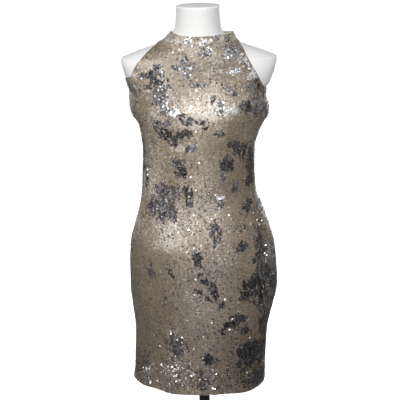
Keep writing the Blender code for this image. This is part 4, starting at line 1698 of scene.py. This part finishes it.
@dataclass(frozen=True)
class DressForm:
    """The limbless form: neck with a flat top, cut arm ends and a flat underside."""

    neck_top: float = 1300 * MM
    top_rounding: float = 3 * MM
    close_ease: float = 0.6 * MM
    armpit_ease: float = 1.0 * MM
    chest_ease: float = 2.2 * MM
    # Heights from the underarm, at which the cloth's ease over the form changes
    ease_steps: tuple[float, ...] = (-30 * MM, -8 * MM, 12 * MM, 30 * MM)
    chest_start: float = 20 * MM
    neck_start: float = 1240 * MM
    low_rows: int = 90
    chest_rows: int = 70
    neck_rows: int = 14
    columns: int = 192
    shoulder_tip_height: float = 1173 * MM
    shoulder_tip_reach: float = 199 * MM
    shoulder_shift: float = 0.8 * MM
    cut_slope: float = 0.29
    cut_rounding: float = 7 * MM
    cut_start: float = 12 * MM

    def build(self) -> None:
        """Makes the form in place of the frame's."""
        body = [
            s._replace(left=min(s.left, s.right), right=min(s.left, s.right))
            for s in CLOTH_SECTIONS
            if s.height * MM <= NECK_SEAM_HEIGHT
        ]
        surface = DrapedSurface((*body, *NECK_SECTIONS))
        chest, top = UNDERARM_HEIGHT - self.chest_start, self.neck_top - self.top_rounding
        heights = np.concatenate(
            [
                np.linspace(FORM_BOTTOM, chest, self.low_rows)[:-1],
                np.linspace(chest, self.neck_start, self.chest_rows)[:-1],
                np.linspace(self.neck_start, top, self.neck_rows),
            ]
        )
        angles = np.linspace(0, 2 * math.pi, self.columns, endpoint=False)
        angles, grid = np.broadcast_arrays(angles, heights[:, None])
        eases = [self.close_ease, self.armpit_ease, self.armpit_ease, self.chest_ease]
        inset = WALL + np.interp(grid, UNDERARM_HEIGHT + np.array(self.ease_steps), eases)
        points = surface.points(angles, grid, inset)
        points[0, :, 2], points[-1, :, 2] = FORM_BOTTOM, heights[-1]
        points = self.cut_arms(points)
        rings = np.concatenate([self.floor_rings(points[0]), points, self.top_rings(points[-1])])
        shape = rings, grid_quads(len(rings), self.columns, closed=True)
        made = piece("form_shell", shape, FORM_SHELL, merge=True, sharp=60)
        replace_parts(made, "form_torso")

    def cut_arms(self, points: Array) -> Array:
        """Cuts the arm ends off flat, with rounded rims.

        Formula: above the armpit the reach to each side is the soft minimum of itself and of
        the cutting plane, which leans outwards up to the shoulder's tip.
        """
        x, height, k = points[..., 0], points[..., 2], self.cut_rounding
        cut = self.shoulder_tip_reach - self.cut_slope * (self.shoulder_tip_height - height)
        cut = cut + self.shoulder_shift * np.sign(x)
        rounded = -k * np.logaddexp(-np.abs(x) / k, -cut / k)
        above = height > UNDERARM_HEIGHT - self.cut_start
        x = np.where(above, np.sign(x) * rounded, x)
        return np.concatenate([x[..., None], points[..., 1:]], axis=-1)

    def floor_rings(self, ring: Array) -> Array:
        """The middle of the flat underside, and a ring half way to it."""
        middle = np.broadcast_to(ring.mean(axis=0), ring.shape)
        return np.stack([middle, ring * 0.5 + middle * 0.5])

    def top_rings(self, ring: Array) -> Array:
        """The rounded rim of the neck's top and its flat lid: a quarter turn, then inwards."""
        middle, up = ring.mean(axis=0), np.array([0, 0, self.top_rounding])
        inward = self.top_rounding * unit(middle - ring)
        turns = np.radians([30, 60, 90])
        rings = [ring + (1 - math.cos(t)) * inward + math.sin(t) * up for t in turns]
        rim, lid = rings[-1], middle + up
        return np.stack([*rings, rim * 0.5 + lid * 0.5, rim * 0 + lid])


@dataclass(frozen=True)
class Stand:
    """The flange under the form, the pole, and the round base."""

    pole_radius: float = 14 * MM
    gap: float = 0.3 * MM
    flange_radius: float = 45 * MM
    flange_plate: float = 5 * MM
    socket_wall: float = 4 * MM
    socket_length: float = 32 * MM
    base_radius: float = 160 * MM
    base_plate: float = 8 * MM
    flange_rounding: float = 0.6 * MM
    pole_rounding: float = 0.8 * MM
    base_rounding: float = 3 * MM
    segments: int = 128

    def build(self) -> None:
        """Turns the three pieces and rounds their edges."""
        radius, disc, base = self.pole_radius, self.flange_radius, self.base_radius
        plate, bore = self.base_plate, radius + self.gap
        sleeve = bore + self.socket_wall
        top = FORM_BOTTOM - self.gap
        under = top - self.flange_plate
        low, seat, socket_top = under - self.socket_length, plate / 2, plate + self.socket_length
        flange = [(0, top), (disc, top), (disc, under), (sleeve, under)]
        flange += [(sleeve, low), (bore, low), (bore, under), (0, under)]
        pole_top, pole_low = under - self.gap, seat + self.gap
        pole = [(0, pole_top), (radius, pole_top), (radius, pole_low), (0, pole_low)]
        foot = [(0, seat), (bore, seat), (bore, socket_top), (sleeve, socket_top)]
        foot += [(sleeve, plate), (base, plate), (base, 0), (0, 0)]
        self.turn("stand_flange", flange, self.flange_rounding)
        self.turn("stand_pole", pole, self.pole_rounding)
        self.turn("stand_base", foot, self.base_rounding)

    def turn(self, node: str, profile: Profile, rounding: float) -> None:
        """Turns one piece in place of a node, its edges rounded."""
        shape = lathe(profile, self.segments)
        made = piece(f"{node}_turned", shape, BLACK_STEEL, merge=True)
        round_edges(made, rounding, segments=3)
        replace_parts(made, node)


# Studio


class Softbox(NamedTuple):
    """A light panel that faces the dress: its place as seen from there, and its size."""

    name: str
    azimuth: float
    elevation: float
    distance: float
    width: float
    height: float
    power: float
    spread: float


SOFTBOXES = table(
    Softbox,
    ("main_softbox", 2, 11, 3.9, 2.4, 0.8, 4.4, 36),
    ("key_softbox", -40, 40, 2.6, 1.4, 1.6, 4.8, 60), ("top_softbox", -5, 66, 2, 1.2, 1, 2.1, 110),
    ("fill_panel", 62, 14, 3, 1, 1.6, 0.8, 180), ("spark_lamp", 12, 34, 3.2, 0.24, 0.24, 7, 90),
    ("low_bounce", 0, -25, 2.6, 1.4, 0.6, 0.6, 50), ("back_softbox", 176, -8, 3, 2.4, 1, 34, 140),
    ("left_back_panel", -140, 6, 3, 1.2, 1.6, 4.4, 140),
    ("right_back_panel", 140, 6, 3, 1.2, 1.6, 4.4, 140),
)


@dataclass(frozen=True)
class Studio:
    """A pale floor, soft light, and the camera."""

    aim: tuple[float, float, float] = (0.0, 0.0, 1.18)
    camera_place: tuple[float, float, float] = (-0.0029, -3.30, 1.68)
    camera_drop: float = 14.88
    camera_roll: float = -1.0
    lens: float = 120.15
    sensor_width: float = 36
    floor_reach: float = 40.0
    floor_drop: float = 0.5 * MM
    ambient: float = 0.2

    def build(self) -> None:
        """Makes the camera, lights, floor and surroundings."""
        self.camera()
        self.floor()
        for box in SOFTBOXES:
            self.light(box)
        self.surroundings()
        bpy.context.scene.view_settings.view_transform = "Standard"
        bpy.context.scene.view_settings.look = "None"

    def camera(self) -> None:
        """A long lens a little above the dress, tipped down, and turned a degree."""
        data = bpy.data.cameras.new("camera")
        data.lens, data.sensor_width = self.lens, self.sensor_width
        camera = add_object("camera", data)
        camera.location = self.camera_place
        camera.rotation_mode = "ZXY"
        camera.rotation_euler = (math.radians(90 - self.camera_drop), 0, 0)
        roll = Matrix.Rotation(math.radians(self.camera_roll), 4, "Z")
        camera.matrix_world = camera.matrix_basis @ roll
        bpy.context.scene.camera = camera

    def floor(self) -> None:
        """A wide matt floor, pale enough to show white."""
        reach, level = self.floor_reach, -self.floor_drop
        signs = ((-1, -1), (1, -1), (1, 1), (-1, 1))
        mesh = bpy.data.meshes.new("floor")
        mesh.from_pydata([(x * reach, y * reach, level) for x, y in signs], [], [(0, 1, 2, 3)])
        mesh.materials.append(WHITE_FLOOR.material())
        floor = add_object("floor", mesh)
        floor.visible_diffuse = floor.visible_glossy = False

    def light(self, box: Softbox) -> None:
        """One softbox, which points at the middle of the dress."""
        turn, rise = math.radians(box.azimuth), math.radians(box.elevation)
        level = math.cos(rise)
        away = np.array([math.sin(turn) * level, -math.cos(turn) * level, math.sin(rise)])
        data = bpy.data.lights.new(box.name, "AREA")
        data.shape, data.size, data.size_y = "RECTANGLE", box.width, box.height
        data.energy, data.spread = box.power, math.radians(box.spread)
        lamp = add_object(box.name, data)
        lamp.location = np.array(self.aim) + box.distance * away
        lamp.rotation_euler = (math.pi / 2 - rise, 0, turn)

    def surroundings(self) -> None:
        """An even grey room light, which the camera sees as white."""
        world = bpy.data.worlds.new("studio")
        world.use_nodes = True
        seen = add_node(world.node_tree, "LightPath", {}, {}).outputs["Is Camera Ray"]
        light = {"Value": seen, "To Min": self.ambient, "To Max": 1.0}
        strength = add_node(world.node_tree, "MapRange", {}, light).outputs["Result"]
        background = world.node_tree.nodes["Background"]
        set_inputs(background, {"Color": (1, 1, 1, 1), "Strength": strength})
        bpy.context.scene.world = world


def main() -> None:
    """Builds the dress, its form and stand, and the studio, and notes the sizes."""
    logging.basicConfig(level=logging.INFO, format="%(message)s")
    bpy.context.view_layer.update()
    DressForm().build()
    Stand().build()
    dress = Dress()
    dress.build()
    BackZip(dress.cloth).build()
    Studio().build()


if __name__ == "__main__":
    main()
